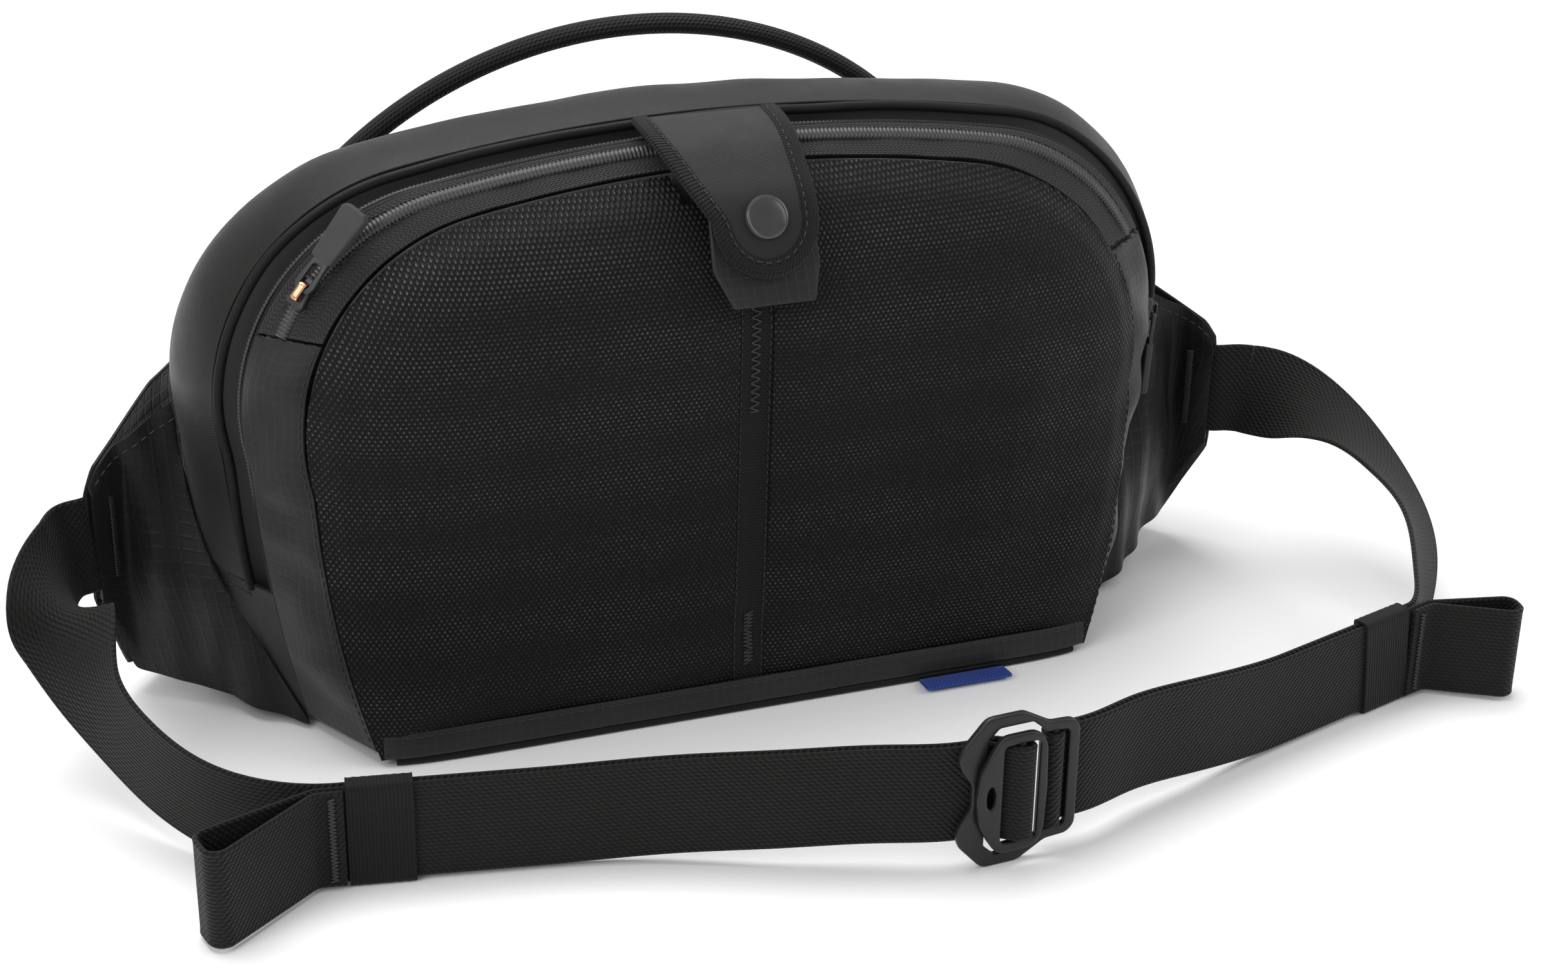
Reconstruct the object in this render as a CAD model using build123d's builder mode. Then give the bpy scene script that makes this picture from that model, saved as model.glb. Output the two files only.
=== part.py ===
"""Waist pack: a 5-litre hip bag standing on its base, with its belt buckled in front of it.

Millimetres. +X is the bag's right as seen from the front, +Y runs to the back (the wearer's side)
and +Z is up. The origin is the middle of the flat base, which lies on z = 0.
"""

import os
from math import cos, radians, sin

from build123d import *

os.makedirs("parts", exist_ok=True)

# ---- driving dimensions -------------------------------------------------------------------------
FABRIC = 1.2  # coated fabric wall
SEAM_GAP = 0.3  # space left between neighbouring pieces
WEBBING = 32.0  # width of the belt webbing
WEBBING_T = 1.4  # its thickness
LAYER_GAP = 0.9  # space between the belt's two layers
BELT_REST_Z = 1.5  # height of the webbing's lower edge where it stands on its keepers
BUCKLE_TALL = 51.0  # buckle plate
BUCKLE_WIDE = 40.0
PLATE_T = 2.4  # thickness of both buckle plates
BAR_R = 1.2  # bar that the webbing turns round
HANDLE_R = 134.0  # radius of the grab handle's arch
FLAP_LIFT_Z = 191.5  # height of the flap's hinge line
FLAP_LIFT_Y = -14.5

# Front view of the bag at six depths: (y at the foot, y added per mm of height, half width, height,
# half width of the flat foot, height of the foot above the floor).
BACK = (54.0, -0.05, 148.0, 170.0, 138.0, 0.0)
WIDEST = (22.0, 0.0, 165.0, 188.5, 148.0, 0.0)
SHELL_EDGE = (-8.0, 0.0, 157.0, 190.0, 143.0, 0.0)
POCKET_EDGE = (-19.0, 0.0, 150.0, 186.5, 136.0, 0.0)
PANEL = (-50.0, 0.117, 135.0, 181.0, 121.0, 2.0)

BAND_END_Z = 50.0  # the main zip and the shell band end here on both sides
ZIP_END_Z = 138.0  # the front zip ends here on both sides
FLOOR_STRIP_Z = 6.0  # the base panel turns up this far at the front
COIL_AT = (0.30, 0.46)  # where the zip coil lies between POCKET_EDGE and PANEL


def section_plane(section):
    """The plane that a section's outline is drawn in: X to the right, Y up, facing the front."""
    y, lean, *_ = section
    up = Vector(0, lean, 1).normalized()
    return Plane(origin=(0, y, 0), x_dir=(1, 0, 0), z_dir=Vector(1, 0, 0).cross(up))


def between(a, b, share):
    """The section that lies a share of the way from section a to section b."""
    return tuple(p + (q - p) * share for p, q in zip(a, b))


def outline(section, grow=0.0):
    """The closed D-shaped outline of a section: flat foot, bulging sides, arched top."""
    _, _, half, height, foot, base = section
    half = half + grow
    foot = foot + grow * 0.6
    low = base - grow
    rise = height + grow - low
    widest = (half, low + 0.50 * rise)
    shoulder = (0.62 * half, low + 0.955 * rise)
    with BuildLine() as edge:
        Line((-foot, low), (foot, low))
        ThreePointArc((foot, low), (0.95 * half, low + 0.16 * rise), widest)
        ThreePointArc(widest, (0.925 * half, low + 0.80 * rise), shoulder)
        ThreePointArc(shoulder, (0, low + rise), (-shoulder[0], shoulder[1]))
        ThreePointArc((-shoulder[0], shoulder[1]), (-0.925 * half, low + 0.80 * rise), (-half, widest[1]))
        ThreePointArc((-half, widest[1]), (-0.95 * half, low + 0.16 * rise), (-foot, low))
    make_face(edge.edges())


def ring(sections, wall, grow=0.0):
    """A fabric tube of one wall that runs through the sections and is open at both ends."""
    straight = len(sections) == 2
    with BuildPart() as tube:
        for section in sections:
            with BuildSketch(section_plane(section)):
                outline(section, grow)
        loft(ruled=straight)
        for section in sections:
            with BuildSketch(section_plane(section)):
                outline(section, grow - wall)
        loft(ruled=straight, mode=Mode.SUBTRACT)
    return tube


def save(piece, name):
    """Labels a finished piece and writes its STEP file."""
    piece.part.label = name
    export_step(piece.part, f"parts/{name}.step")


def slab(section, depth, grow):
    """A plate with a section's outline, running back from its plane by the given depth."""
    with BuildPart() as plate:
        with BuildSketch(section_plane(section)):
            outline(section, grow)
        extrude(amount=-depth)
    return plate


def arch(name, section, depth, grow_out, grow_in, low):
    """A band that follows the top and the sides of a section's outline down to a height."""
    with BuildPart() as band:
        with BuildSketch(section_plane(section)):
            outline(section, grow_out)
        extrude(amount=-depth)
        with BuildSketch(section_plane(section)):
            outline(section, grow_in)
        extrude(amount=-depth, mode=Mode.SUBTRACT)
        split(bisect_by=Plane.XY.offset(low), keep=Keep.TOP)
    save(band, name)
    return band


# ---- main compartment ---------------------------------------------------------------------------
with BuildPart() as main_shell:
    add(ring((BACK, WIDEST, SHELL_EDGE), FABRIC).part)
    split(bisect_by=Plane.XY.offset(BAND_END_Z), keep=Keep.TOP)
save(main_shell, "main_shell")

with BuildPart() as base_panel:
    add(ring((BACK, WIDEST, SHELL_EDGE), FABRIC).part)
    add(ring((SHELL_EDGE, POCKET_EDGE), FABRIC).part)
    split(bisect_by=Plane.XY.offset(BAND_END_Z - SEAM_GAP), keep=Keep.BOTTOM)
with BuildPart() as base_front:
    add(ring((POCKET_EDGE, PANEL), FABRIC).part)
    split(bisect_by=Plane.XY.offset(FLOOR_STRIP_Z), keep=Keep.BOTTOM)
with BuildPart() as base_all:
    add(base_panel.part)
    add(base_front.part)
save(base_all, "base_panel")

BACK_GROW = -0.5  # the back panel lies inside the shell's rear edge seam
FOAM_T = 7.0
BACK_MESH_T = 3.0
behind = (BACK[0] + SEAM_GAP + FABRIC, *BACK[1:])
back_panel = slab(behind, FABRIC, BACK_GROW)
save(back_panel, "back_panel")
back_mesh = slab((behind[0] + BACK_MESH_T + SEAM_GAP, *BACK[1:]), BACK_MESH_T, BACK_GROW - 3)
save(back_mesh, "back_mesh")
back_foam = slab((BACK[0] - FOAM_T - SEAM_GAP, *BACK[1:]), FOAM_T, -6.0)
save(back_foam, "back_foam")

DIVIDER_Y = SHELL_EDGE[0] + 2.0
divider = slab((DIVIDER_Y, *SHELL_EDGE[1:]), FABRIC, -FABRIC - SEAM_GAP)
save(divider, "divider_wall")

POCKET_TALL = 95.0
POCKET_WIDE = 210.0
POCKET_Y = 40.0  # the organiser hangs on the front of the back foam
with BuildPart() as organiser:
    with BuildSketch(Plane.XZ.offset(-POCKET_Y)):
        with Locations((0, 20 + POCKET_TALL / 2)):
            RectangleRounded(POCKET_WIDE, POCKET_TALL, 12)
    extrude(amount=FABRIC)
save(organiser, "organiser_pocket")

LEASH_X = 88.0
with BuildPart() as leash:
    with Locations((LEASH_X, 36.0, 105.0)):
        Box(10, 1.4, 60)
save(leash, "key_leash")
with BuildPart() as key_hook:
    with BuildSketch(Plane.XZ.offset(-36.7)):
        with Locations((LEASH_X, 62.0)):
            RectangleRounded(12, 24, 5.5)
            RectangleRounded(6.5, 18, 3.0, mode=Mode.SUBTRACT)
    extrude(amount=2.4)
save(key_hook, "key_hook")

# ---- main zip, in the groove between the shell band and the front pocket -------------------------
LIP = 2.6  # thickness of the rolled lips on both sides of the groove
TAPE_DEEP = 3.8  # how far the zip's tape runs front to back
TAPE_FRONT_Y = -15.2
COIL_DEEP = 2.2
COIL_FRONT_Y = -14.3
FRONT_LIP_Y = -18.4
groove = between(SHELL_EDGE, POCKET_EDGE, 0.5)
arch("main_zip_rear_lip", (SHELL_EDGE[0] - SEAM_GAP - LIP, *SHELL_EDGE[1:]), LIP, 0.0, -LIP, BAND_END_Z)
arch("main_zip_tape", (TAPE_FRONT_Y, *groove[1:]), TAPE_DEEP, -4.6, -5.6, BAND_END_Z)
arch("main_zip_coil", (COIL_FRONT_Y, *groove[1:]), COIL_DEEP, -2.9, -4.3, BAND_END_Z)
arch("main_zip_front_lip", (FRONT_LIP_Y, *POCKET_EDGE[1:]), LIP, 0.0, -LIP, BAND_END_Z)

# ---- front pocket: gussets, zip band, wall ------------------------------------------------------
FRONT_OF_GROOVE = (POCKET_EDGE[0] - SEAM_GAP, *POCKET_EDGE[1:])
for side, keep in (("left", Keep.BOTTOM), ("right", Keep.TOP)):
    with BuildPart() as gusset:
        add(ring((FRONT_OF_GROOVE, PANEL), FABRIC).part)
        split(bisect_by=Plane.XY.offset(FLOOR_STRIP_Z + SEAM_GAP), keep=Keep.TOP)
        split(bisect_by=Plane.XY.offset(ZIP_END_Z - SEAM_GAP), keep=Keep.BOTTOM)
        split(bisect_by=Plane.YZ, keep=keep)
    save(gusset, f"side_gusset_{side}")


def zip_band(name, start, end, wall, grow):
    """One strip of the front zip, between two shares of the pocket's sloping rim."""
    with BuildPart() as strip:
        near = between(FRONT_OF_GROOVE, PANEL, start)
        far = between(FRONT_OF_GROOVE, PANEL, end)
        add(ring((near, far), wall, grow).part)
        split(bisect_by=Plane.XY.offset(ZIP_END_Z), keep=Keep.TOP)
    save(strip, name)


zip_band("front_zip_upper_tape", 0.0, COIL_AT[0] - 0.01, 0.8, 0.0)
zip_band("front_zip_coil", COIL_AT[0], COIL_AT[1], 1.4, 0.3)
zip_band("front_zip_lower_tape", COIL_AT[1] + 0.01, 1.0, 0.8, 0.0)

pocket_wall = slab((PANEL[0] + SEAM_GAP, *PANEL[1:]), FABRIC, -FABRIC - SEAM_GAP)
save(pocket_wall, "pocket_wall")

# ---- stretch mesh: two halves, bulging forward, open along the top behind the flap ----------------
MESH_T = 1.2
# (forward at the foot, more forward per mm of height, inset) of the mesh at four levels
BULGE = ((0.0, 0.0, 0.0), (1.0, 0.06, -5.0), (2.0, 0.11, -18.0), (2.5, 0.15, -42.0))


def mesh_cup(inset):
    """The bulging mesh as a closed form, drawn in by an inset."""
    with BuildPart() as cup:
        for forward, lean, grow in BULGE:
            level = (PANEL[0] - forward - SEAM_GAP + inset, PANEL[1] - lean, *PANEL[2:])
            with BuildSketch(section_plane(level)):
                outline(level, grow - inset)
        loft(ruled=True)
    return cup


STRIP_WIDE = 12.0
MOUTH_WIDE = 68.0  # the mesh pocket is open at the top, behind the flap
MOUTH_DEEP = 12.0
MOUTH_Y = -35.0
for side, sign in (("left", -1), ("right", 1)):
    with BuildPart() as mesh:
        add(mesh_cup(0.0).part)
        add(mesh_cup(MESH_T).part, mode=Mode.SUBTRACT)
        with Locations((sign * (STRIP_WIDE / 2 + SEAM_GAP + 100), -40, 95)):
            Box(200, 120, 240, mode=Mode.INTERSECT)
        with Locations((0, MOUTH_Y, PANEL[3])):
            Box(MOUTH_WIDE, MOUTH_DEEP, 24, mode=Mode.SUBTRACT)
    save(mesh, f"mesh_{side}")

# centre strip: webbing sewn over the join of the two halves
with BuildPart() as centre_strip:
    add(mesh_cup(0.0).part)
    add(mesh_cup(WEBBING_T).part, mode=Mode.SUBTRACT)
    with Locations((0, -101, 95)):
        Box(STRIP_WIDE, 120, 240, mode=Mode.INTERSECT)
save(centre_strip, "centre_strip")

BINDING_TALL = 8.0
BINDING_T = 1.2
MESH_FRONT = 1.4 + MESH_T  # the mesh's lowest course stands this far in front of the panel
with BuildPart() as front_binding:
    with BuildSketch(section_plane((PANEL[0] - MESH_FRONT - BINDING_T, *PANEL[1:]))):
        with Locations((0, 3.4 + BINDING_TALL / 2)):
            Rectangle(2 * 117.0, BINDING_TALL)
    extrude(amount=-BINDING_T)
    add(mesh_cup(0.0).part, mode=Mode.SUBTRACT)
save(front_binding, "front_binding")

PIPING_R = 1.4
with BuildPart() as piping:
    with BuildSketch(Plane.YZ.offset(-116)):
        with Locations((PANEL[0] - 2.2, PIPING_R)):
            Circle(PIPING_R)
    extrude(amount=232)
    add(mesh_cup(-0.2).part, mode=Mode.SUBTRACT)
save(piping, "front_piping")

TAG_X = 74.0
TAG_WIDE = 30.0
with BuildPart() as side_tag:
    with BuildSketch(Plane.YZ.offset(TAG_X - TAG_WIDE / 2)):
        with BuildLine():
            Polyline((-54.0, 0.3), (-62.5, 1.4), (-62.5, 3.2), (-54.0, 1.9), close=True)
        make_face()
    extrude(amount=TAG_WIDE)
save(side_tag, "side_tag")

# ---- flap with its snap, and the tab that it closes on -------------------------------------------
FLAP_PATH = ((-14.5, 191.5), (-32.0, 189.5), (-53.0, 176.5), (-64.0, 154.0))  # (y, z) down the flap
FLAP_T = 2.0
FLAP_WIDE_TOP = 52.0
FLAP_WIDE_TIP = 33.0
FLAP_TOP_X = -6.0
FLAP_TIP_X = 2.0
FLAP_TIP_Z = 171.0
BINDING_WIDE = 5.0
SIDE_X = 120.0  # wider than any piece on the centre line

(y0, z0), (y1, z1) = FLAP_PATH[-2:]
snap_share = (z0 - FLAP_TIP_Z) / (z0 - z1)
snap_down = Vector(0, y1 - y0, z1 - z0).normalized()
SNAP = Plane(
    origin=(FLAP_TIP_X, y0 + (y1 - y0) * snap_share, FLAP_TIP_Z),
    x_dir=(1, 0, 0),
    z_dir=Vector(1, 0, 0).cross(-snap_down),
)
CAP_R = 6.7
POST_R = 1.6
POST_HOLE_R = 1.9
SOCKET_R = 5.2


def tongue(wide_top, wide_tip):
    """A tapered tongue with a round end, bent over the top of the bag in three stretches."""
    with BuildPart() as form:
        with BuildSketch(Plane.YZ.offset(-SIDE_X / 2)):
            under = [(y + FLAP_T * 0.55, z - FLAP_T) for y, z in FLAP_PATH]
            with BuildLine():
                Polyline(*FLAP_PATH, *under[::-1], close=True)
            make_face()
        extrude(amount=SIDE_X)
        with BuildSketch(Plane.XZ) as front:
            with BuildLine():
                Polyline(
                    (FLAP_TOP_X - wide_top / 2, 200),
                    (FLAP_TOP_X + wide_top / 2, 200),
                    (FLAP_TIP_X + wide_tip / 2, FLAP_TIP_Z),
                    (FLAP_TIP_X - wide_tip / 2, FLAP_TIP_Z),
                    close=True,
                )
            make_face()
            with Locations((FLAP_TIP_X, FLAP_TIP_Z)):
                Circle(wide_tip / 2)
        extrude(front.sketch, amount=SIDE_X, mode=Mode.INTERSECT)
    return form


INNER_TOP = FLAP_WIDE_TOP - 2 * BINDING_WIDE
INNER_TIP = FLAP_WIDE_TIP - 2 * BINDING_WIDE
with BuildPart() as flap_panel:
    add(tongue(INNER_TOP, INNER_TIP).part)
    with BuildSketch(SNAP):
        Circle(POST_HOLE_R)
    extrude(amount=2 * FLAP_T, both=True, mode=Mode.SUBTRACT)
save(flap_panel, "flap_panel")

with BuildPart() as flap_binding:
    add(tongue(FLAP_WIDE_TOP, FLAP_WIDE_TIP).part)
    add(tongue(INNER_TOP + SEAM_GAP, INNER_TIP + SEAM_GAP).part, mode=Mode.SUBTRACT)
save(flap_binding, "flap_binding")

CAP_H = 2.2
with BuildPart() as snap_cap:
    with BuildSketch(SNAP.offset(0.2)):
        Circle(CAP_R)
    extrude(amount=CAP_H)
    fillet(snap_cap.faces().sort_by(Axis(SNAP.origin, SNAP.z_dir))[-1].edges(), radius=1.2)
    with BuildSketch(SNAP.offset(0.2)):
        Circle(POST_R)
    extrude(amount=-2.2)
save(snap_cap, "snap_cap")

SOCKET_TOP = -2.1
SOCKET_H = 1.9
KNOB_R = 1.9
with BuildPart() as snap_socket:
    with BuildSketch(SNAP.offset(SOCKET_TOP)):
        Circle(SOCKET_R)
    extrude(amount=-SOCKET_H)
    with BuildSketch(SNAP.offset(SOCKET_TOP - SOCKET_H)):
        Circle(KNOB_R + 0.4)
    extrude(amount=SOCKET_H - 0.8, mode=Mode.SUBTRACT)
save(snap_socket, "snap_socket")

TAB_FRONT = SOCKET_TOP - SOCKET_H - 0.3
TAB_T = 1.5
with BuildPart() as under_tab:
    with BuildSketch(SNAP.offset(TAB_FRONT)):
        with BuildLine():
            Polyline((-16, 8), (16, 8), (17, -14), (14, -26), (-12, -26), (-17, -14), close=True)
        make_face()
        Circle(POST_HOLE_R, mode=Mode.SUBTRACT)
    extrude(amount=-TAB_T)
save(under_tab, "under_tab")

with BuildPart() as snap_stud:
    with BuildSketch(SNAP.offset(TAB_FRONT + 1.0)):
        Circle(KNOB_R - 0.4)
    extrude(amount=-TAB_T - 1.4)
    with BuildSketch(SNAP.offset(TAB_FRONT - TAB_T - 0.1)):
        Circle(4.6)
    extrude(amount=-0.8)
save(snap_stud, "snap_stud")

# ---- grab handle --------------------------------------------------------------------------------
HANDLE_X = -8.0
HANDLE_Y = 53.5
HANDLE_Z = 159.0
HANDLE_HALF_SPAN = 99.0
HANDLE_LEAN = 11.0  # degrees that the handle leans back
HANDLE_SECTION = (6.4, 8.0)
arch_drop = (HANDLE_R**2 - HANDLE_HALF_SPAN**2) ** 0.5
lean = radians(HANDLE_LEAN)
HANDLE_PLANE = Plane(
    origin=(HANDLE_X, HANDLE_Y, HANDLE_Z), x_dir=(1, 0, 0), z_dir=(0, -cos(lean), -sin(lean))
)
with BuildPart() as handle:
    with BuildLine(HANDLE_PLANE) as bow:
        ThreePointArc((-HANDLE_HALF_SPAN, 0), (0, HANDLE_R - arch_drop), (HANDLE_HALF_SPAN, 0))
    start = bow.line @ 0
    with BuildSketch(Plane(origin=start, x_dir=HANDLE_PLANE.z_dir, z_dir=bow.line % 0)):
        Ellipse(HANDLE_SECTION[1] / 2, HANDLE_SECTION[0] / 2)
    sweep(path=bow.line)
    split(bisect_by=Plane.XY.offset(HANDLE_Z + 3.5), keep=Keep.TOP)
save(handle, "handle")

with BuildPart() as anchors:
    for side in (-1, 1):
        with Locations((HANDLE_X + side * (HANDLE_HALF_SPAN - 1.5), HANDLE_Y + 2.7, HANDLE_Z - 16)):
            Box(20, 1.6, 21)
save(anchors, "handle_anchors")

# ---- hip wings ----------------------------------------------------------------------------------
WING_ROOT = (154.5, 56.5)
WING_TIP = (197.0, 11.0)
TIP_Z = 60.0
WING_T = 1.2
WING_GAP = 2.0
WING_SHAPE = ((0, 2.5), (30, 5), (47, 10), (57, 30), (61, 37), (61, 80), (57, 85), (24, 101), (0, 106))
WING_FOLD = 46.0  # from here the front fabric leaves the wing's plane for the side of the bag
FOLD_LOW, FOLD_HIGH = 10.5, 90.0
SIDE_SEAM = ((170.0, 24.0, 100.0), (167.5, 12.0, 62.0), (153.0, -8.0, 28.0), (147.0, -20.0, 1.8))
STUB_IN = 20.0


def wing_plane(side):
    """The upright plane through a wing's root and its tip, facing the front."""
    along = Vector(side * (WING_TIP[0] - WING_ROOT[0]), WING_TIP[1] - WING_ROOT[1], 0).normalized()
    root = (side * WING_ROOT[0], WING_ROOT[1], 0)
    return Plane(origin=root, x_dir=along, z_dir=along.cross(Vector(0, 0, 1)))


for name, side in (("left", -1), ("right", 1)):
    base = wing_plane(side)
    for face, low in (("front", WING_GAP / 2), ("rear", -WING_GAP / 2 - WING_T)):
        near = low if side > 0 else -low - WING_T
        with BuildPart() as panel:
            with BuildSketch(base.offset(near)):
                with BuildLine():
                    Polyline(*WING_SHAPE, close=True)
                make_face()
                if face == "front":
                    with Locations((WING_FOLD - SIDE_X, TIP_Z)):
                        Rectangle(2 * SIDE_X, 2 * SIDE_X, mode=Mode.SUBTRACT)
            extrude(amount=WING_T)
        if face == "front":
            fold = base.offset(near + WING_T / 2)
            start = fold.from_local_coords(Vector(WING_FOLD + WING_T, FOLD_HIGH, 0))
            end = fold.from_local_coords(Vector(WING_FOLD + WING_T, FOLD_LOW, 0))
            seam = Edge.make_spline([Vector(side * x, y, z) for x, y, z in SIDE_SEAM])
            fabric = Face.make_surface_from_curves(Edge.make_line(start, end), seam)
            with BuildPart() as side_fabric:
                thicken(fabric, amount=WING_T / 2, both=True)
            panel.part = panel.part + side_fabric.part
        save(panel, f"wing_{name}_{face}")
    with BuildPart() as stub:
        with BuildSketch(base.offset(-WEBBING_T / 2)):
            with Locations((61.5 - STUB_IN / 2, TIP_Z)):
                Rectangle(STUB_IN, WEBBING)
        extrude(amount=WEBBING_T)
    save(stub, f"webbing_{name}_end")

with BuildPart() as bartacks:
    for side in (-1, 1):
        base = wing_plane(side)
        start = WING_GAP / 2 + WING_T + 0.1
        with BuildSketch(base.offset(start if side > 0 else -start - 0.8)):
            with Locations((53, TIP_Z)):
                Rectangle(2.6, 28)
        extrude(amount=0.8)
save(bartacks, "wing_bartacks")

# ---- belt: buckle plates ------------------------------------------------------------------------
BUCKLE_AT = (25.5, -162.5, BUCKLE_TALL / 2)
BUCKLE_TURN = 3.8  # degrees that the buckle faces off the front
turn = radians(BUCKLE_TURN)
BUCKLE = Plane(origin=BUCKLE_AT, x_dir=(cos(turn), sin(turn), 0), z_dir=(sin(turn), -cos(turn), 0))
SLOT_TALL = WEBBING + 1.2
HALF_TALL = BUCKLE_TALL / 2
LEFT_RIM = 9.5
INNER_FROM, INNER_TO = 5.0, 28.4
INNER_BAR = 19.7
OUTER_BAR = 32.0
RIGHT_SLOT_END = 36.4
INNER_BACK = 0.4
INNER_MID = INNER_BACK + PLATE_T / 2

with BuildPart() as buckle_outer:
    with BuildSketch(BUCKLE.offset(-PLATE_T)):
        with BuildLine():
            upper = [(4.8, 4), (1.5, 9), (0, 13), (1.5, 17), (9, HALF_TALL), (21, HALF_TALL), (30, 20.2),
                     (37.5, 19.8), (BUCKLE_WIDE, 17)]
            Polyline(*upper, *[(x, -y) for x, y in upper[::-1]], close=True)
        make_face()
        with BuildLine():
            half = [(LEFT_RIM, 18), (13, 21.5), (24, 21.5), (28.6, 17.4), (29, SLOT_TALL / 2)]
            half.append((OUTER_BAR, SLOT_TALL / 2))
            Polyline(*half, *[(x, -y) for x, y in half[::-1]], close=True)
        make_face(mode=Mode.SUBTRACT)
        with Locations(((OUTER_BAR + RIGHT_SLOT_END) / 2, 0)):
            Rectangle(RIGHT_SLOT_END - OUTER_BAR, SLOT_TALL, mode=Mode.SUBTRACT)
    extrude(amount=PLATE_T)
    with Locations(BUCKLE.offset(-PLATE_T / 2) * Location((OUTER_BAR, 0, 0), (90, 0, 0))):
        Cylinder(BAR_R, SLOT_TALL + 1)
save(buckle_outer, "buckle_outer")

with BuildPart() as buckle_inner:
    with BuildSketch(BUCKLE.offset(INNER_BACK)):
        with BuildLine():
            upper = [(INNER_FROM, 0), (6.2, 9), (9, 14.5), (12.5, 20), (23.5, 20), (26.6, 17.8), (27.9, 14)]
            upper.append((INNER_TO, 0))
            Polyline(*upper, *[(x, -y) for x, y in upper[-2:0:-1]], close=True)
        make_face()
        with Locations((INNER_BAR - 0.3, 0)):
            Rectangle(11.8, SLOT_TALL, mode=Mode.SUBTRACT)
        with Locations((9.8, 0)):
            SlotOverall(7.6, 2.8, rotation=90, mode=Mode.SUBTRACT)
    extrude(amount=PLATE_T)
    with Locations(BUCKLE.offset(INNER_MID) * Location((INNER_BAR, 0, 0), (90, 0, 0))):
        Cylinder(BAR_R, SLOT_TALL + 1)
save(buckle_inner, "buckle_inner")

# ---- belt: webbing ------------------------------------------------------------------------------
NEAR_LAYER = -PLATE_T - 0.4 - WEBBING_T / 2  # depths of the two layers behind the buckle
FAR_LAYER = NEAR_LAYER - WEBBING_T - LAYER_GAP
OFFSET = (WEBBING_T + LAYER_GAP) / 2  # of either layer from the middle of the pair
WRAP_R = 2.2  # radius of the webbing's middle round a bar
LOOP_R = 4.0  # radius in the folds of a tail loop
RUN = 57.0  # straight stretch that a keeper slides on
LEFT_START = (-146.0, -109.5)  # where the left pair leaves its tail loop
LEFT_HEADING = -9.85
RIGHT_START = (207.0, -110.7)
RIGHT_HEADING = 197.1


def heading(angle):
    """The level direction at an angle from +X."""
    return Vector(cos(radians(angle)), sin(radians(angle)), 0)


def ribbon(stations):
    """Webbing that twists through stations, each a place, its direction and that of its width."""
    edges = []
    for side in (-1, 1):
        points = []
        for place, ahead, width in stations:
            forward = Vector(*ahead).normalized()
            across = Vector(*width) - forward * Vector(*width).dot(forward)
            points.append(Vector(*place) + across.normalized() * (side * WEBBING / 2))
        edges.append(Edge.make_spline(points, tangents=[Vector(*stations[0][1]), Vector(*stations[-1][1])]))
    with BuildPart() as band:
        thicken(Face.make_surface_from_curves(*edges), amount=WEBBING_T / 2, both=True)
    return band


def layer(stations, offset):
    """One upright layer of a pair through stations (x, y, height of the lower edge, heading)."""
    upright = []
    for x, y, low, angle in stations:
        side = heading(angle + 90) * offset
        upright.append((Vector(x, y, low + WEBBING / 2) + side, heading(angle), Vector(0, 0, 1)))
    return ribbon(upright)


def strip(plane, points, radius):
    """Webbing on edge, standing on a plane along a line with rounded corners."""
    with BuildPart() as piece:
        with BuildSketch(plane):
            with BuildLine():
                centre = FilletPolyline(*points, radius=radius)
                offset(centre, amount=WEBBING_T / 2, side=Side.BOTH, kind=Kind.INTERSECTION)
            make_face()
        extrude(amount=WEBBING)
    return piece


def run_plane(start, angle):
    """The plane under a pair's straight stretch, X along it towards the buckle."""
    return Plane(origin=(*start, BELT_REST_Z), x_dir=heading(angle), z_dir=(0, 0, 1))


def tail(plane, front, reach):
    """The front layer of a straight stretch with the tail folded back and sewn into a loop."""
    fold = [(-41 * reach, 19.5 * reach), (-35.5 * reach, 33 * reach)]
    points = [(RUN, OFFSET), (-7, OFFSET), *fold, (-7, 3.4), (-2, 3.4)]
    with BuildPart() as piece:
        add(strip(plane, [(x, front * y) for x, y in points], LOOP_R).part)
        with Locations(plane * Location((-3, front * 2.3, WEBBING / 2))):
            Box(1.2, 1.4, WEBBING)
    return piece


WRAP_PLANE = Plane(
    origin=BUCKLE.origin - BUCKLE.y_dir * WEBBING / 2, x_dir=BUCKLE.x_dir, z_dir=BUCKLE.y_dir
)
LEFT_WRAP = (
    (8.0, NEAR_LAYER), (11.0, NEAR_LAYER), (18.81, 3.85), (21.95, 3.85), (21.95, 0.46),
    (13.5, FAR_LAYER), (8.0, FAR_LAYER),
)
RIGHT_WRAP = (
    (41.0, NEAR_LAYER), (35.2, NEAR_LAYER), (33.5, 1.05), (29.75, 1.05), (29.75, FAR_LAYER),
    (41.0, FAR_LAYER),
)


def pair_end(distance):
    """The middle of the pair at a distance along the buckle: x, y, lower edge, heading."""
    spot = BUCKLE.origin + BUCKLE.x_dir * distance + BUCKLE.z_dir * (NEAR_LAYER + FAR_LAYER) / 2
    return spot.X, spot.Y, BUCKLE_TALL / 2 - WEBBING / 2


def run_end(start, angle):
    """The end of a straight stretch: x, y, lower edge, heading."""
    return start[0] + heading(angle).X * RUN, start[1] + heading(angle).Y * RUN, BELT_REST_Z, angle


LEFT_CURVE = (
    run_end(LEFT_START, LEFT_HEADING),
    (-50.0, -129.6, 4.0, -18.5),
    (-21.2, -141.2, 6.9, -20.5),
    (6.0, -150.6, 8.8, -17.0),
    (*pair_end(8.0), BUCKLE_TURN),
)
RIGHT_CURVE = (
    run_end(RIGHT_START, RIGHT_HEADING),
    (134.0, -133.6, 3.0, 198.5),
    (111.0, -141.0, 6.4, 197.0),
    (88.0, -147.8, 8.7, 196.0),
    (*pair_end(41.0), 180 + BUCKLE_TURN),
)

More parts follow.
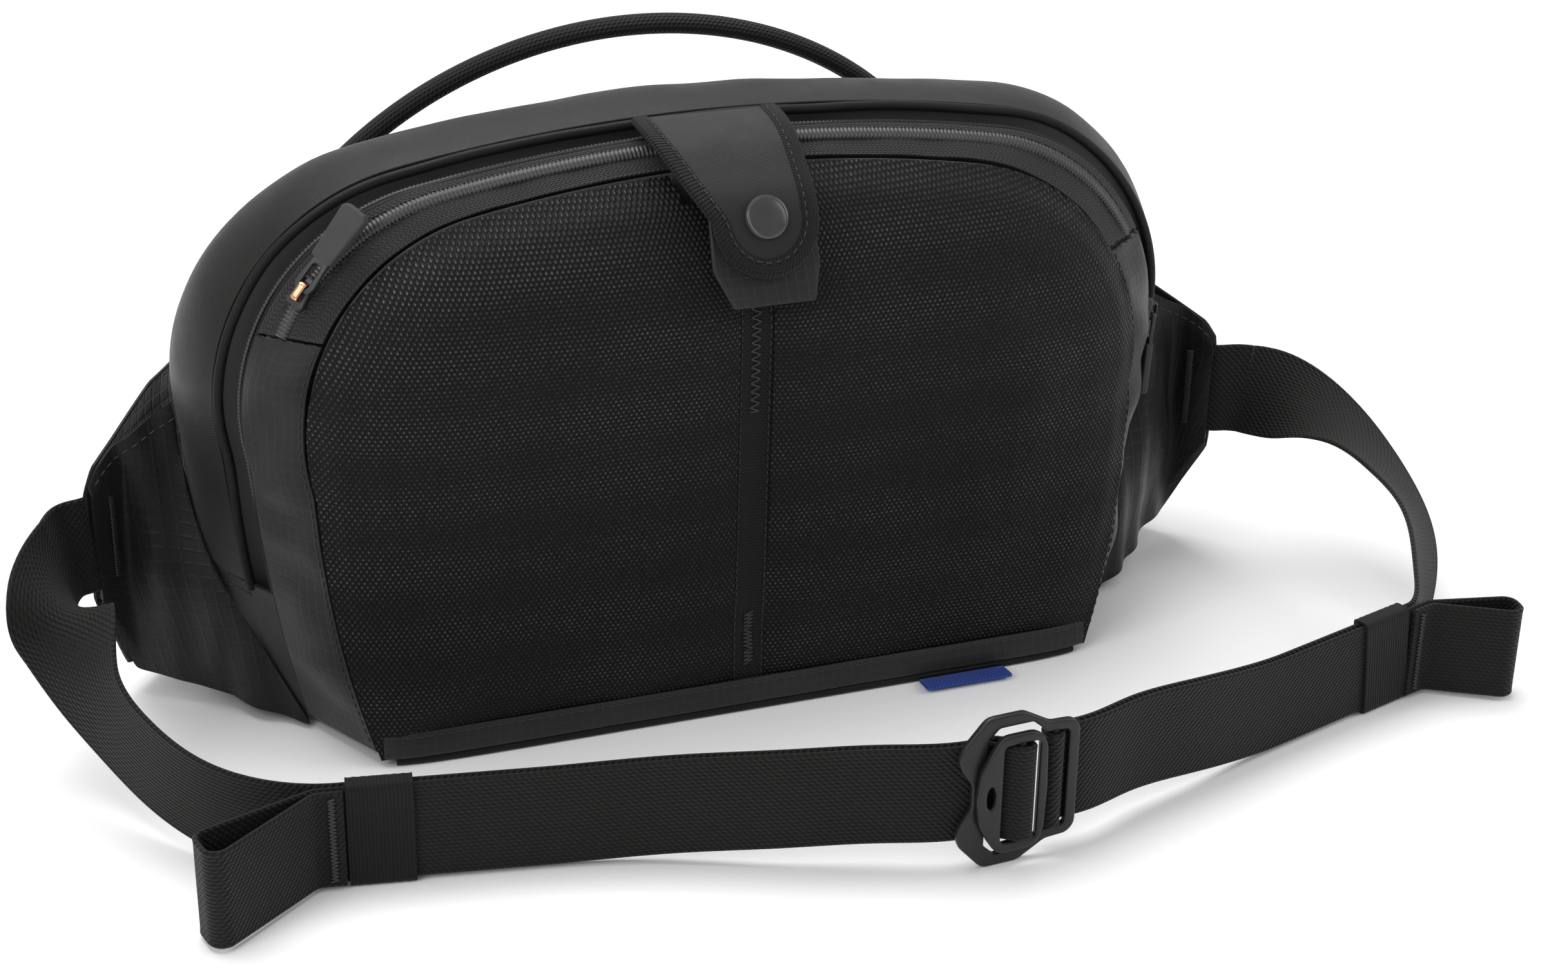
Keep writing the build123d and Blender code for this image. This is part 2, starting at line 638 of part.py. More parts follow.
STRAP_X = WING_TIP[0] + 3.0
EDGE_Z = BELT_REST_Z + WEBBING / 2
left_join = Vector(*LEFT_START, EDGE_Z) + heading(LEFT_HEADING + 90) * OFFSET
right_join = Vector(*RIGHT_START, EDGE_Z) + heading(RIGHT_HEADING - 90) * OFFSET
LEFT_STRAP = (
    ((-STRAP_X, WING_TIP[1], TIP_Z), (-1, 0, 0), (0, 0, 1)),
    ((-209, 0, 59), (-0.25, -1, -0.05), (-0.3, 0.1, 1)),
    ((-212, -16, 56), (-0.05, -1, -0.3), (-0.6, 0.4, 0.6)),
    ((-209, -30, 49), (0.2, -0.75, -0.7), (-0.8, 0.5, -0.2)),
    ((-204, -44, 36), (0.3, -0.8, -0.5), (-0.4, 0.5, -0.75)),
    ((-194, -65, 25), (0.45, -0.85, -0.3), (-0.2, 0.4, -0.9)),
    ((-176, -90, 18.5), (0.7, -0.7, -0.1), (0, 0.1, -1)),
    (left_join, heading(LEFT_HEADING), (0, 0, -1)),
)
RIGHT_STRAP = (
    ((STRAP_X, WING_TIP[1], TIP_Z), (1, 0, 0), (0, 0, 1)),
    ((214, 8, 58), (1, -0.3, -0.2), (0.2, 0.3, 0.95)),
    ((228, -1, 54), (0.75, -0.75, -0.35), (0.45, 0.7, 0.5)),
    ((239, -18, 47), (0.4, -0.85, -0.4), (0.8, 0.6, -0.1)),
    ((242, -45, 37), (-0.1, -0.95, -0.3), (0.75, 0.1, -0.6)),
    ((234, -72, 30), (-0.45, -0.85, -0.2), (0.45, 0.0, -0.85)),
    ((221, -95, 22), (-0.6, -0.75, -0.2), (0.2, 0.05, -1)),
    (right_join, heading(RIGHT_HEADING), (0, 0, -1)),
)

for name, start, angle, front, reach, curve, wrap, strap in (
    ("left", LEFT_START, LEFT_HEADING, -1, 1.0, LEFT_CURVE, LEFT_WRAP, LEFT_STRAP),
    ("right", RIGHT_START, RIGHT_HEADING, 1, 0.78, RIGHT_CURVE, RIGHT_WRAP, RIGHT_STRAP),
):
    floor = run_plane(start, angle)
    lead_in = layer(((*start, BELT_REST_Z, angle), curve[0]), -front * OFFSET).part
    folded = tail(floor, front, reach).part
    layers = layer(curve, OFFSET).part + layer(curve, -OFFSET).part
    turned = strip(WRAP_PLANE, [(along, -depth) for along, depth in wrap], WRAP_R).part
    with BuildPart() as webbing:
        add(ribbon(strap).part + lead_in + folded + layers + turned)
    save(webbing, f"webbing_{name}")

KEEPER_LONG = 20.0
KEEPER_FROM = 2.0
KEEPER_WALL = 0.9
INSIDE_TALL = WEBBING + 2 * SEAM_GAP
INSIDE_DEEP = 2 * OFFSET + WEBBING_T + 2 * SEAM_GAP
for name, start, angle in (("left", LEFT_START, LEFT_HEADING), ("right", RIGHT_START, RIGHT_HEADING)):
    floor = run_plane(start, angle)
    middle = floor * Location((KEEPER_FROM + KEEPER_LONG / 2, 0, WEBBING / 2))
    with BuildPart() as keeper:
        with Locations(middle):
            Box(KEEPER_LONG, INSIDE_DEEP + 2 * KEEPER_WALL, INSIDE_TALL + 2 * KEEPER_WALL)
            Box(KEEPER_LONG + 1, INSIDE_DEEP, INSIDE_TALL, mode=Mode.SUBTRACT)
    save(keeper, f"keeper_{name}")

# ---- zip sliders with their pulls ---------------------------------------------------------------
# Measures of a slider: body (long, wide, from, to), bail and frame and grip widths, grip thickness.
# "From" and "to" are heights over the plane that the slider runs on.
FRONT_SLIDER = ((10.0, 7.2, 0.8, 3.0), 2.2, 6.8, 9.0, 4.0)
MAIN_SLIDER = ((10.0, 3.9, -2.4, 0.5), 1.6, 4.2, 4.7, 2.6)
BAIL_LONG = 6.4
BAIL_WALL = 1.0
BAIL_RISE = 3.0
PIVOT_X = 1.2  # the pull's pivot bar, from the middle of the slider
PIVOT_RISE = 1.05  # and over the slider's top
PULL_BAR = 1.2
FRAME_END = 13.0
GRIP_FROM, GRIP_TO = 11.4, 30.0


def shoulder_arc(section):
    """The arc of a section's outline from its widest point to its shoulder, on the right."""
    _, _, half, height, _, base = section
    rise = height - base
    heights = [(half, 0.50), (0.925 * half, 0.80), (0.62 * half, 0.955)]
    return Edge.make_three_point_arc(*[Vector(x, 0, base + share * rise) for x, share in heights])


def track(near, far, share, side, high):
    """The plane that a slider runs on: X up along the zip, Z off the bag."""
    spots = []
    for part in (share - 0.1, share + 0.1):
        section = between(near, far, part)
        arc = shoulder_arc(section)
        up = high - arc.arc_center.Z
        out = arc.arc_center.X + (arc.radius**2 - up**2) ** 0.5
        spots.append(Vector(side * out, section[0] + section[1] * high, high))
    section = between(near, far, share)
    centre = shoulder_arc(section).arc_center
    centre = Vector(side * centre.X, section[0] + section[1] * high, centre.Z)
    origin = (spots[0] + spots[1]) / 2
    outward = (origin - centre).normalized()
    along = Vector(-side * outward.Z, 0, side * outward.X)
    normal = along.cross(spots[1] - spots[0])
    if normal.dot(outward) < 0:
        normal = normal * -1
    return Plane(origin=origin, x_dir=along, z_dir=normal)


def slider_set(name, plane, way, measures):
    """A slider with its bail, and the pull that swings on the bail; way is the pull's direction."""
    (long, wide, low, top), bail_wide, frame_wide, grip_wide, grip_thick = measures
    with BuildPart() as slider:
        with Locations(plane * Location((0, 0, (low + top) / 2))):
            Box(long, wide, top - low)
        fillet(slider.edges(), radius=0.5)
    save(slider, f"{name}_slider")
    foot = top + 0.1
    with BuildPart() as bail:
        with Locations(plane * Location((0, 0, foot + (BAIL_RISE - 0.1) / 2))):
            Box(BAIL_LONG, bail_wide, BAIL_RISE - 0.1)
        with Locations(plane * Location((0, 0, foot + (BAIL_RISE - BAIL_WALL) / 2 - 0.55))):
            Box(BAIL_LONG - 2 * BAIL_WALL, bail_wide + 1, BAIL_RISE - BAIL_WALL + 1, mode=Mode.SUBTRACT)
    save(bail, f"{name}_slider_bail")
    pivot = plane * Location((0, 0, top + PIVOT_RISE))
    middle = way * (PIVOT_X + FRAME_END) / 2
    frame_long = FRAME_END - PIVOT_X + PULL_BAR
    inner_wide = bail_wide + 0.9
    with BuildPart() as frame:
        with Locations(pivot * Location((middle, 0, 0))):
            Box(frame_long, frame_wide, PULL_BAR)
            Box(frame_long - 2 * PULL_BAR, inner_wide, PULL_BAR + 1, mode=Mode.SUBTRACT)
    save(frame, f"{name}_pull_frame")
    with BuildPart() as grip:
        with Locations(pivot * Location((way * (GRIP_FROM + GRIP_TO) / 2, 0, 0))):
            Box(GRIP_TO - GRIP_FROM, grip_wide, grip_thick)
        fillet(grip.edges(), radius=1.0)
        with Locations(pivot * Location((middle, 0, 0))):
            Box(frame_long + 0.6, frame_wide + 0.6, PULL_BAR + 0.6, mode=Mode.SUBTRACT)
    save(grip, f"{name}_pull_grip")


front_track = track(FRONT_OF_GROOVE, PANEL, sum(COIL_AT) / 2, -1, 151.0)
slider_set("front", front_track, 1, FRONT_SLIDER)
GROOVE_MIDDLE = -13.4
main_track = track(SHELL_EDGE, POCKET_EDGE, 0.5, 1, 105.0)
main_origin = Vector(main_track.origin.X, GROOVE_MIDDLE, main_track.origin.Z)
main_normal = Vector(0, 1, 0).cross(main_track.x_dir)
main_level = Plane(origin=main_origin, x_dir=main_track.x_dir, z_dir=main_normal)
slider_set("main", main_level, -1, MAIN_SLIDER)
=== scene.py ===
"""Waist pack: the looks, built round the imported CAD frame. Lengths in this file are millimetres."""

from math import atan2, cos, pi, radians, sin, tan

import bmesh
import bpy
import numpy as np
from mathutils import Matrix, Vector, noise


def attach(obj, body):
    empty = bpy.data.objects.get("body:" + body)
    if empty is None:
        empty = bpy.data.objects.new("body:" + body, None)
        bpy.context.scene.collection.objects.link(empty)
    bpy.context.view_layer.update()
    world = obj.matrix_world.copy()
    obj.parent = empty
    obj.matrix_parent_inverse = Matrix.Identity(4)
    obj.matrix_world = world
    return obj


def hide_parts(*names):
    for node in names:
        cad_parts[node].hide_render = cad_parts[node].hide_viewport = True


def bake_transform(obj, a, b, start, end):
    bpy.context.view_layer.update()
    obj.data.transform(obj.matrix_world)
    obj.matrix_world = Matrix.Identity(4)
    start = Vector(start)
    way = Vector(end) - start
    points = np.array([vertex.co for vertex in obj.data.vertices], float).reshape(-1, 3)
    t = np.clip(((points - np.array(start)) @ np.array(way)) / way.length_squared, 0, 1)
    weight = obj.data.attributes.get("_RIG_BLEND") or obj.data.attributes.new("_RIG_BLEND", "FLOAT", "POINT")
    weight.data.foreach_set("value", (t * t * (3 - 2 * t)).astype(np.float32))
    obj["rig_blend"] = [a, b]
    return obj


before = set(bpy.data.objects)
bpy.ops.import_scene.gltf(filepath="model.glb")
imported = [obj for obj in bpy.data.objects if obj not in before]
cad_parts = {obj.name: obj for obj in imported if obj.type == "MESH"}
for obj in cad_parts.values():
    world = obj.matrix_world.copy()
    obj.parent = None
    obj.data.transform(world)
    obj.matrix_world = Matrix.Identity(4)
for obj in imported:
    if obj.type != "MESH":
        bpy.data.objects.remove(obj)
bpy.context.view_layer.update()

MM = 0.001

# ---- the bag's sections, as in the CAD ----------------------------------------------------------
# (y at the foot, y added per mm of height, half width, height, half width of the foot, lift)
BACK = (54.0, -0.05, 148.0, 170.0, 138.0, 0.0)
WIDEST = (22.0, 0.0, 165.0, 188.5, 148.0, 0.0)
SHELL_EDGE = (-8.0, 0.0, 157.0, 190.0, 143.0, 0.0)
POCKET_EDGE = (-19.0, 0.0, 150.0, 186.5, 136.0, 0.0)
POCKET_FRONT = (-19.3, 0.0, 150.0, 186.5, 136.0, 0.0)
PANEL = (-50.0, 0.117, 135.0, 181.0, 121.0, 2.0)
BAND_END_Z = 50.0
ZIP_END_Z = 138.0
COIL_AT = (0.30, 0.46)
CORE = np.array([0.0, 5.0, 85.0])  # a point inside the bag


# ---- curves -------------------------------------------------------------------------------------
def unit(v):
    """Vectors of length one."""
    v = np.asarray(v, float)
    return v / np.maximum(np.linalg.norm(v, axis=-1, keepdims=True), 1e-9)


def arc(a, b, c, count):
    """Points on the circle through three points, from a over b to c."""
    (ax, ay), (bx, by), (cx, cy) = a, b, c
    d = 2 * (ax * (by - cy) + bx * (cy - ay) + cx * (ay - by))
    aa, bb, cc = ax * ax + ay * ay, bx * bx + by * by, cx * cx + cy * cy
    ux = (aa * (by - cy) + bb * (cy - ay) + cc * (ay - by)) / d
    uy = (aa * (cx - bx) + bb * (ax - cx) + cc * (bx - ax)) / d
    start, over, end = (atan2(y - uy, x - ux) for x, y in (a, b, c))
    turn = (end - start) % (2 * pi)
    if (over - start) % (2 * pi) > turn:
        turn -= 2 * pi
    t = start + turn * np.linspace(0, 1, count)
    r = np.hypot(ax - ux, ay - uy)
    return np.stack([ux + r * np.cos(t), uy + r * np.sin(t)], 1)


def lengths(points):
    """The distance along a line at each of its points."""
    steps = np.linalg.norm(np.diff(points, axis=0), axis=1)
    return np.concatenate([[0.0], np.cumsum(steps)])


def resample(points, count=None, step=None):
    """The same line with evenly spaced points."""
    points = np.asarray(points, float)
    at = lengths(points)
    if count is None:
        count = max(int(at[-1] / step) + 1, 2)
    to = np.linspace(0, at[-1], count)
    return np.stack([np.interp(to, at, points[:, k]) for k in range(points.shape[1])], 1)


def rounded(points, radius, closed=False):
    """A line through points in a plane, with an arc at every corner."""
    points = [np.asarray(p, float) for p in points]
    n = len(points)
    out = [] if closed else [points[0]]
    for i in range(n) if closed else range(1, n - 1):
        before, at, after = points[i - 1], points[i], points[(i + 1) % n]
        into, away = unit(at - before), unit(after - at)
        bend = np.arccos(np.clip(into @ away, -1, 1))
        room = 0.49 * min(np.linalg.norm(at - before), np.linalg.norm(after - at))
        if bend < 0.02:
            out.append(at)
            continue
        reach = min(radius * tan(bend / 2), room)
        r = reach / tan(bend / 2)
        side = 1.0 if into[0] * away[1] - into[1] * away[0] > 0 else -1.0
        first = at - into * reach
        centre = first + side * r * np.array([-into[1], into[0]])
        angle = atan2(*(first - centre)[::-1])
        steps = max(int(bend / 0.22), 2)
        for k in range(steps + 1):
            t = angle + side * bend * k / steps
            out.append(centre + r * np.array([cos(t), sin(t)]))
    if not closed:
        out.append(points[-1])
    return np.array(out)


def spline(points, start, end, count):
    """A smooth curve through points that leaves along start and arrives along end."""
    p = np.asarray(points, float)
    n = len(p)
    h = np.maximum(np.diff(lengths(p)), 1e-6)
    system = np.zeros((n, n))
    right = np.zeros_like(p)
    system[0, 0] = system[-1, -1] = 1
    right[0], right[-1] = unit(start), unit(end)
    for i in range(1, n - 1):
        system[i, i - 1 : i + 2] = 1 / h[i - 1], 2 / h[i - 1] + 2 / h[i], 1 / h[i]
        right[i] = 3 * ((p[i] - p[i - 1]) / h[i - 1] ** 2 + (p[i + 1] - p[i]) / h[i] ** 2)
    m = np.linalg.solve(system, right)
    knots = np.concatenate([[0], np.cumsum(h)])
    out = []
    for t in np.linspace(0, knots[-1], count):
        i = min(np.searchsorted(knots, t, side="right") - 1, n - 2)
        s = (t - knots[i]) / h[i]
        out.append(
            (2 * s**3 - 3 * s**2 + 1) * p[i]
            + (s**3 - 2 * s**2 + s) * h[i] * m[i]
            + (3 * s**2 - 2 * s**3) * p[i + 1]
            + (s**3 - s**2) * h[i] * m[i + 1]
        )
    return np.array(out)


def heading(angle):
    """The level unit vector at an angle in degrees."""
    return np.array([cos(radians(angle)), sin(radians(angle)), 0.0])


def ripple(points, size, seed):
    """Smooth noise from -1 to 1 at each point, with waves about as long as size."""
    flat = np.asarray(points, float).reshape(-1, 3)
    shift = np.array([13.7, 5.1, 9.3]) * seed
    values = [noise.noise(Vector(p)) for p in flat / size + shift]
    return np.array(values).reshape(np.asarray(points).shape[:-1]) * 1.6


# ---- outlines of the bag ------------------------------------------------------------------------
def between(a, b, share):
    """The section a share of the way from one section to another."""
    return tuple(p + (q - p) * share for p, q in zip(a, b))


def lift(section, flat):
    """Points of a front view (x, up) on a section's plane, in space."""
    flat = np.asarray(flat, float)
    up = np.array([section[1], 1.0]) / np.hypot(section[1], 1.0)
    return np.stack([flat[..., 0], section[0] + flat[..., 1] * up[0], flat[..., 1] * up[1]], -1)


def rim_flat(section, grow=0.0):
    """The arch of a section, from its left foot over the top to its right foot, as (x, up)."""
    _, _, half, height, foot, base = section
    half, foot, low = half + grow, foot + 0.6 * grow, base - grow
    rise = height + grow - low
    widest, shoulder = (half, low + 0.5 * rise), (0.62 * half, low + 0.955 * rise)
    right = [
        arc((foot, low), (0.95 * half, low + 0.16 * rise), widest, 70),
        arc(widest, (0.925 * half, low + 0.80 * rise), shoulder, 90)[1:],
        arc(shoulder, (0, low + rise), (-shoulder[0], shoulder[1]), 121)[1:61],
    ]
    right = np.concatenate(right)
    left = right[:-1] * (-1, 1)
    return np.concatenate([left, right[::-1]])


def soften(points, times=8):
    """A line, or a grid along its first direction, with its bends smoothed out."""
    for _ in range(times):
        points = points.copy()
        points[1:-1] = (points[:-2] + 2 * points[1:-1] + points[2:]) / 4
    return points


def cut(points, low, high):
    """The part of a line between two heights, with its ends exactly there."""
    z = points[:, 2]
    keep = (z >= low) & (z <= high)
    first, last = np.flatnonzero(keep)[[0, -1]]
    out = points[first : last + 1]
    for end, step, place in ((first, -1, 0), (last, 1, len(out))):
        beyond = end + step
        if 0 <= beyond < len(points):
            level = low if z[beyond] < low else high
            share = (level - z[end]) / (z[beyond] - z[end])
            point = points[end] + share * (points[beyond] - points[end])
            out = np.insert(out, place if step > 0 else 0, point, axis=0)
    return out


def arch(section, grow, low, count):
    """The arch of a section above a height."""
    return soften(resample(cut(lift(section, rim_flat(section, grow)), low, 999), count), 4)


def side_line(section, side, low, high, count, grow=0.0):
    """One side of a section between two heights, from the bottom up."""
    line = lift(section, rim_flat(section, grow))
    half = line[line[:, 0] * side > 0]
    half = half if side < 0 else half[::-1]
    return resample(cut(half[: half[:, 2].argmax() + 1], low, high), count)


def under(section, grow, high, count):
    """The part of a section below a height: down the left side, along the foot, up the right."""
    left = side_line(section, -1, -99, high, 80, grow)[::-1]
    right = side_line(section, 1, -99, high, 80, grow)
    foot = np.linspace(left[-1], right[0], 60)
    line = np.concatenate([left, foot[1:-1], right])
    return soften(resample(line, count), 10)


def shell_section(share):
    """The shell's section a share of the way from its back to its front edge."""
    knots = (0.0, 0.516, 1.0)
    weights = []
    for i, at in enumerate(knots):
        others = [k for j, k in enumerate(knots) if j != i]
        weights.append(np.prod([(share - k) / (at - k) for k in others]))
    return tuple(sum(w * s[k] for w, s in zip(weights, (BACK, WIDEST, SHELL_EDGE))) for k in range(6))


# ---- meshes -------------------------------------------------------------------------------------
def normals_of(rows, closed=False):
    """Unit normals of a grid of points, whose second direction may close on itself."""
    along = np.gradient(rows, axis=0)
    if closed:
        across = (np.roll(rows, -1, 1) - np.roll(rows, 1, 1)) / 2
    else:
        across = np.gradient(rows, axis=1)
    return unit(np.cross(along, across))


def facing(rows, core):
    """Unit normals of a grid of points, turned away from a point behind it."""
    out = normals_of(rows)
    return out * np.sign(np.sum(out * (rows - core)))


def radial(points):
    """Unit directions away from the bag's middle line, square to its depth."""
    return unit(points - CORE * (1, 0, 1) - points * (0, 1, 0))


def make(name, points, faces, cloth, look, body, replaces=(), sharp=38.0):
    """A mesh piece that rides on a body; cloth is (along, across, distance from an edge) in mm."""
    mesh = bpy.data.meshes.new(name)
    mesh.from_pydata((np.asarray(points) * MM).tolist(), [], faces)
    cloth_at = mesh.attributes.new("cloth", "FLOAT_VECTOR", "POINT")
    cloth_at.data.foreach_set("vector", np.asarray(cloth, np.float32).ravel())
    bm = bmesh.new()
    bm.from_mesh(mesh)
    bmesh.ops.recalc_face_normals(bm, faces=bm.faces)
    bm.to_mesh(mesh)
    bm.free()
    mesh.polygons.foreach_set("use_smooth", [True] * len(mesh.polygons))
    mesh.set_sharp_from_angle(angle=radians(sharp))
    mesh.materials.append(look)
    piece = bpy.data.objects.new(name, mesh)
    bpy.context.scene.collection.objects.link(piece)
    if body:
        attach(piece, body)
    if replaces:
        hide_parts(*replaces)
    return piece


def skin(name, rows, thick, look, body, replaces=(), core=CORE, drop=None):
    """A sheet of fabric whose outer face is a grid of points; returns the piece and its normals."""
    n, m = rows.shape[:2]
    out = facing(rows, core)
    points = np.concatenate([rows.reshape(-1, 3), (rows - out * thick).reshape(-1, 3)])
    u = np.cumsum(np.linalg.norm(np.diff(rows, axis=0, prepend=rows[:1]), axis=2), axis=0)
    v = np.cumsum(np.linalg.norm(np.diff(rows, axis=1, prepend=rows[:, :1]), axis=2), axis=1)
    u, v = u - u[n // 2], v - v[:, m // 2][:, None]
    edge = np.minimum.reduce([u - u[0], u[-1] - u, v - v[:, :1], v[:, -1:] - v])
    cloth = np.tile(np.stack([u, v, edge], -1).reshape(-1, 3), (2, 1))
    at = np.arange(n * m).reshape(n, m)
    quads = np.ones((n - 1, m - 1), bool)
    if drop is not None:
        quads = ~drop[: n - 1, : m - 1]
    faces, borders = [], {}
    for i, j in zip(*np.nonzero(quads)):
        quad = [at[i, j], at[i + 1, j], at[i + 1, j + 1], at[i, j + 1]]
        faces.append([int(q) for q in quad])
        faces.append([int(q) + n * m for q in quad[::-1]])
        for a, b in zip(quad, quad[1:] + quad[:1]):
            if borders.pop((b, a), None) is None:
                borders[(a, b)] = True
    for a, b in borders:
        faces.append([int(b), int(a), int(a) + n * m, int(b) + n * m])
    used = sorted({q for face in faces for q in face})
    new = {q: k for k, q in enumerate(used)}
    faces = [[new[q] for q in face] for face in faces]
    piece = make(name, points[used], faces, cloth[used], look, body, replaces)
    edge_round = piece.modifiers.new("edge", "BEVEL")
    edge_round.width = 0.3 * thick * MM
    edge_round.segments = 2
    edge_round.limit_method = "ANGLE"
    edge_round.angle_limit = radians(50)
    return piece, out


def tube(name, rows, look, body, replaces=(), cloth=None, sharp=38.0):
    """A closed form through loops of points (n, k, 3), capped at both ends."""
    n, k = rows.shape[:2]
    if cloth is None:
        u = np.cumsum(np.linalg.norm(np.diff(rows, axis=0, prepend=rows[:1]), axis=2).mean(1))
        v = np.cumsum(np.linalg.norm(np.diff(rows, axis=1, prepend=rows[:, :1]), axis=2).mean(0))
        cloth = np.stack([np.repeat(u[:, None], k, 1), np.repeat(v[None], n, 0), np.full((n, k), 9.0)], -1)
    faces = []
    for i in range(n - 1):
        for j in range(k):
            a, b = i * k + j, i * k + (j + 1) % k
            faces.append([a, b, b + k, a + k])
    faces.append(list(range(k))[::-1])
    faces.append([(n - 1) * k + j for j in range(k)])
    return make(name, rows.reshape(-1, 3), faces, cloth.reshape(-1, 3), look, body, replaces, sharp)


def sweep(path, across, section, scale=1.0):
    """Loops of a section (x across, y off the face) along a path."""
    ahead = unit(np.gradient(path, axis=0))
    across = unit(across - ahead * np.sum(across * ahead, -1, keepdims=True))
    off = np.cross(ahead, across)
    scale = np.ones(len(path)) * scale
    wide, high = section[:, 0], section[:, 1]
    return (
        path[:, None]
        + across[:, None] * (wide[None, :, None] * scale[:, None, None])
        + off[:, None] * (high[None, :, None] * scale[:, None, None])
    )


def ellipse(a, b, count=16):
    """A closed section with half axes a and b."""
    t = np.linspace(0, 2 * pi, count, endpoint=False)
    return np.stack([a * np.cos(t), b * np.sin(t)], 1)


def band_section(wide, thick, bead=0.0, across=13):
    """A flat webbing's section, a little thicker in a bead along both edges."""
    x = np.linspace(-1, 1, across) * wide / 2
    edge = np.array([wide / 2 - 1.6, wide / 2 - 0.5, wide / 2])
    x = np.concatenate([-edge[::-1], x[1:-1], edge])
    x = np.unique(np.round(x, 4))
    from_edge = wide / 2 - np.abs(x)
    half = thick / 2 * np.minimum(1, 0.55 + from_edge) + bead * np.exp(-(((from_edge - 0.8) / 0.6) ** 2))
    top = np.stack([x, half], 1)
    return np.concatenate([top, (top * (1, -1))[::-1]])


def webbing(name, path, across, wide, thick, look, body, replaces=(), bead=0.15):
    """A strip of webbing along a path, with its weave laid out along and across it."""
    section = band_section(wide, thick, bead)
    rows = sweep(path, across, section)
    n, k = rows.shape[:2]
    along = np.repeat(lengths(path)[:, None], k, 1)
    side = np.repeat(section[None, :, 0], n, 0)
    cloth = np.stack([along, side, wide / 2 - np.abs(side)], -1)
    return tube(name, rows, look, body, replaces, cloth)


def stitches(name, lines, body="bag", pitch=3.2, long=2.4, wide=0.5):
    """Rows of thread stitches, each line given with the normals of the fabric under it."""
    points, faces = [], []
    rings = ((-0.5, 0.0), (-0.42, 0.75), (0.0, 1.0), (0.42, 0.75), (0.5, 0.0))
    spokes = 6
    for line, out in lines:
        both = resample(np.concatenate([line, out], 1), step=pitch)
        spots, up = both[:, :3], unit(both[:, 3:])
        ahead = unit(np.gradient(spots, axis=0))
        across = np.cross(ahead, up)
        for spot, e, a, u in zip(spots, ahead, across, up):
            start = len(points)
            for share, fat in rings:
                for k in range(spokes):
                    t = 2 * pi * k / spokes
                    ring = (a * cos(t) + u * sin(t)) * wide / 2 * max(fat, 0.12)
                    dip = u * (0.18 - 0.9 * share * share)
                    points.append(spot + e * share * long + ring + dip)
            for r in range(len(rings) - 1):
                for k in range(spokes):
                    p, q = start + r * spokes + k, start + r * spokes + (k + 1) % spokes
                    faces.append([p, q, q + spokes, p + spokes])
            faces.append([start + k for k in range(spokes)][::-1])
            faces.append([start + (len(rings) - 1) * spokes + k for k in range(spokes)])
    cloth = np.zeros((len(points), 3))
    return make(name, np.array(points), faces, cloth, thread_look, body, (), 60)


def plate(name, loops, place, half, bevel, look, body, replaces=()):
    """A flat form with holes and rounded edges; place is a matrix to its middle plane."""
    curve = bpy.data.curves.new(name, "CURVE")
    curve.dimensions = "2D"
    curve.fill_mode = "BOTH"
    curve.extrude = (half - bevel) * MM
    curve.bevel_depth = bevel * MM
    curve.offset = -bevel * MM
    curve.bevel_resolution = 3
    for loop in loops:
        line = curve.splines.new("POLY")
        line.points.add(len(loop) - 1)
        for point, (x, y) in zip(line.points, loop):
            point.co = (x * MM, y * MM, 0, 1)
        line.use_cyclic_u = True
    drawn = bpy.data.objects.new(name + "_line", curve)
    bpy.context.scene.collection.objects.link(drawn)
    bpy.context.view_layer.update()
    mesh = bpy.data.meshes.new_from_object(drawn.evaluated_get(bpy.context.evaluated_depsgraph_get()))
    bpy.data.objects.remove(drawn)
    bm = bmesh.new()
    bm.from_mesh(mesh)
    bmesh.ops.remove_doubles(bm, verts=bm.verts, dist=0.01 * MM)
    points = np.array([place @ v.co for v in bm.verts]) / MM
    faces = [[v.index for v in f.verts] for f in bm.faces]
    flat = np.array([v.co[:] for v in bm.verts]) / MM
    bm.free()
    return make(name, points, faces, flat, look, body, replaces, 35)


def plane_matrix(origin, x_dir, z_dir):
    """The matrix of a plane given in mm, for points in metres."""
    x, z = Vector(x_dir).normalized(), Vector(z_dir).normalized()
    y = z.cross(x)
    rotation = Matrix((x, y, z)).transposed().to_4x4()
    return Matrix.Translation(Vector(origin) * MM) @ rotation


def mirrored(half):
    """A closed outline from its upper half."""
    return list(half) + [(x, -y) for x, y in list(half)[::-1] if abs(y) > 1e-6]


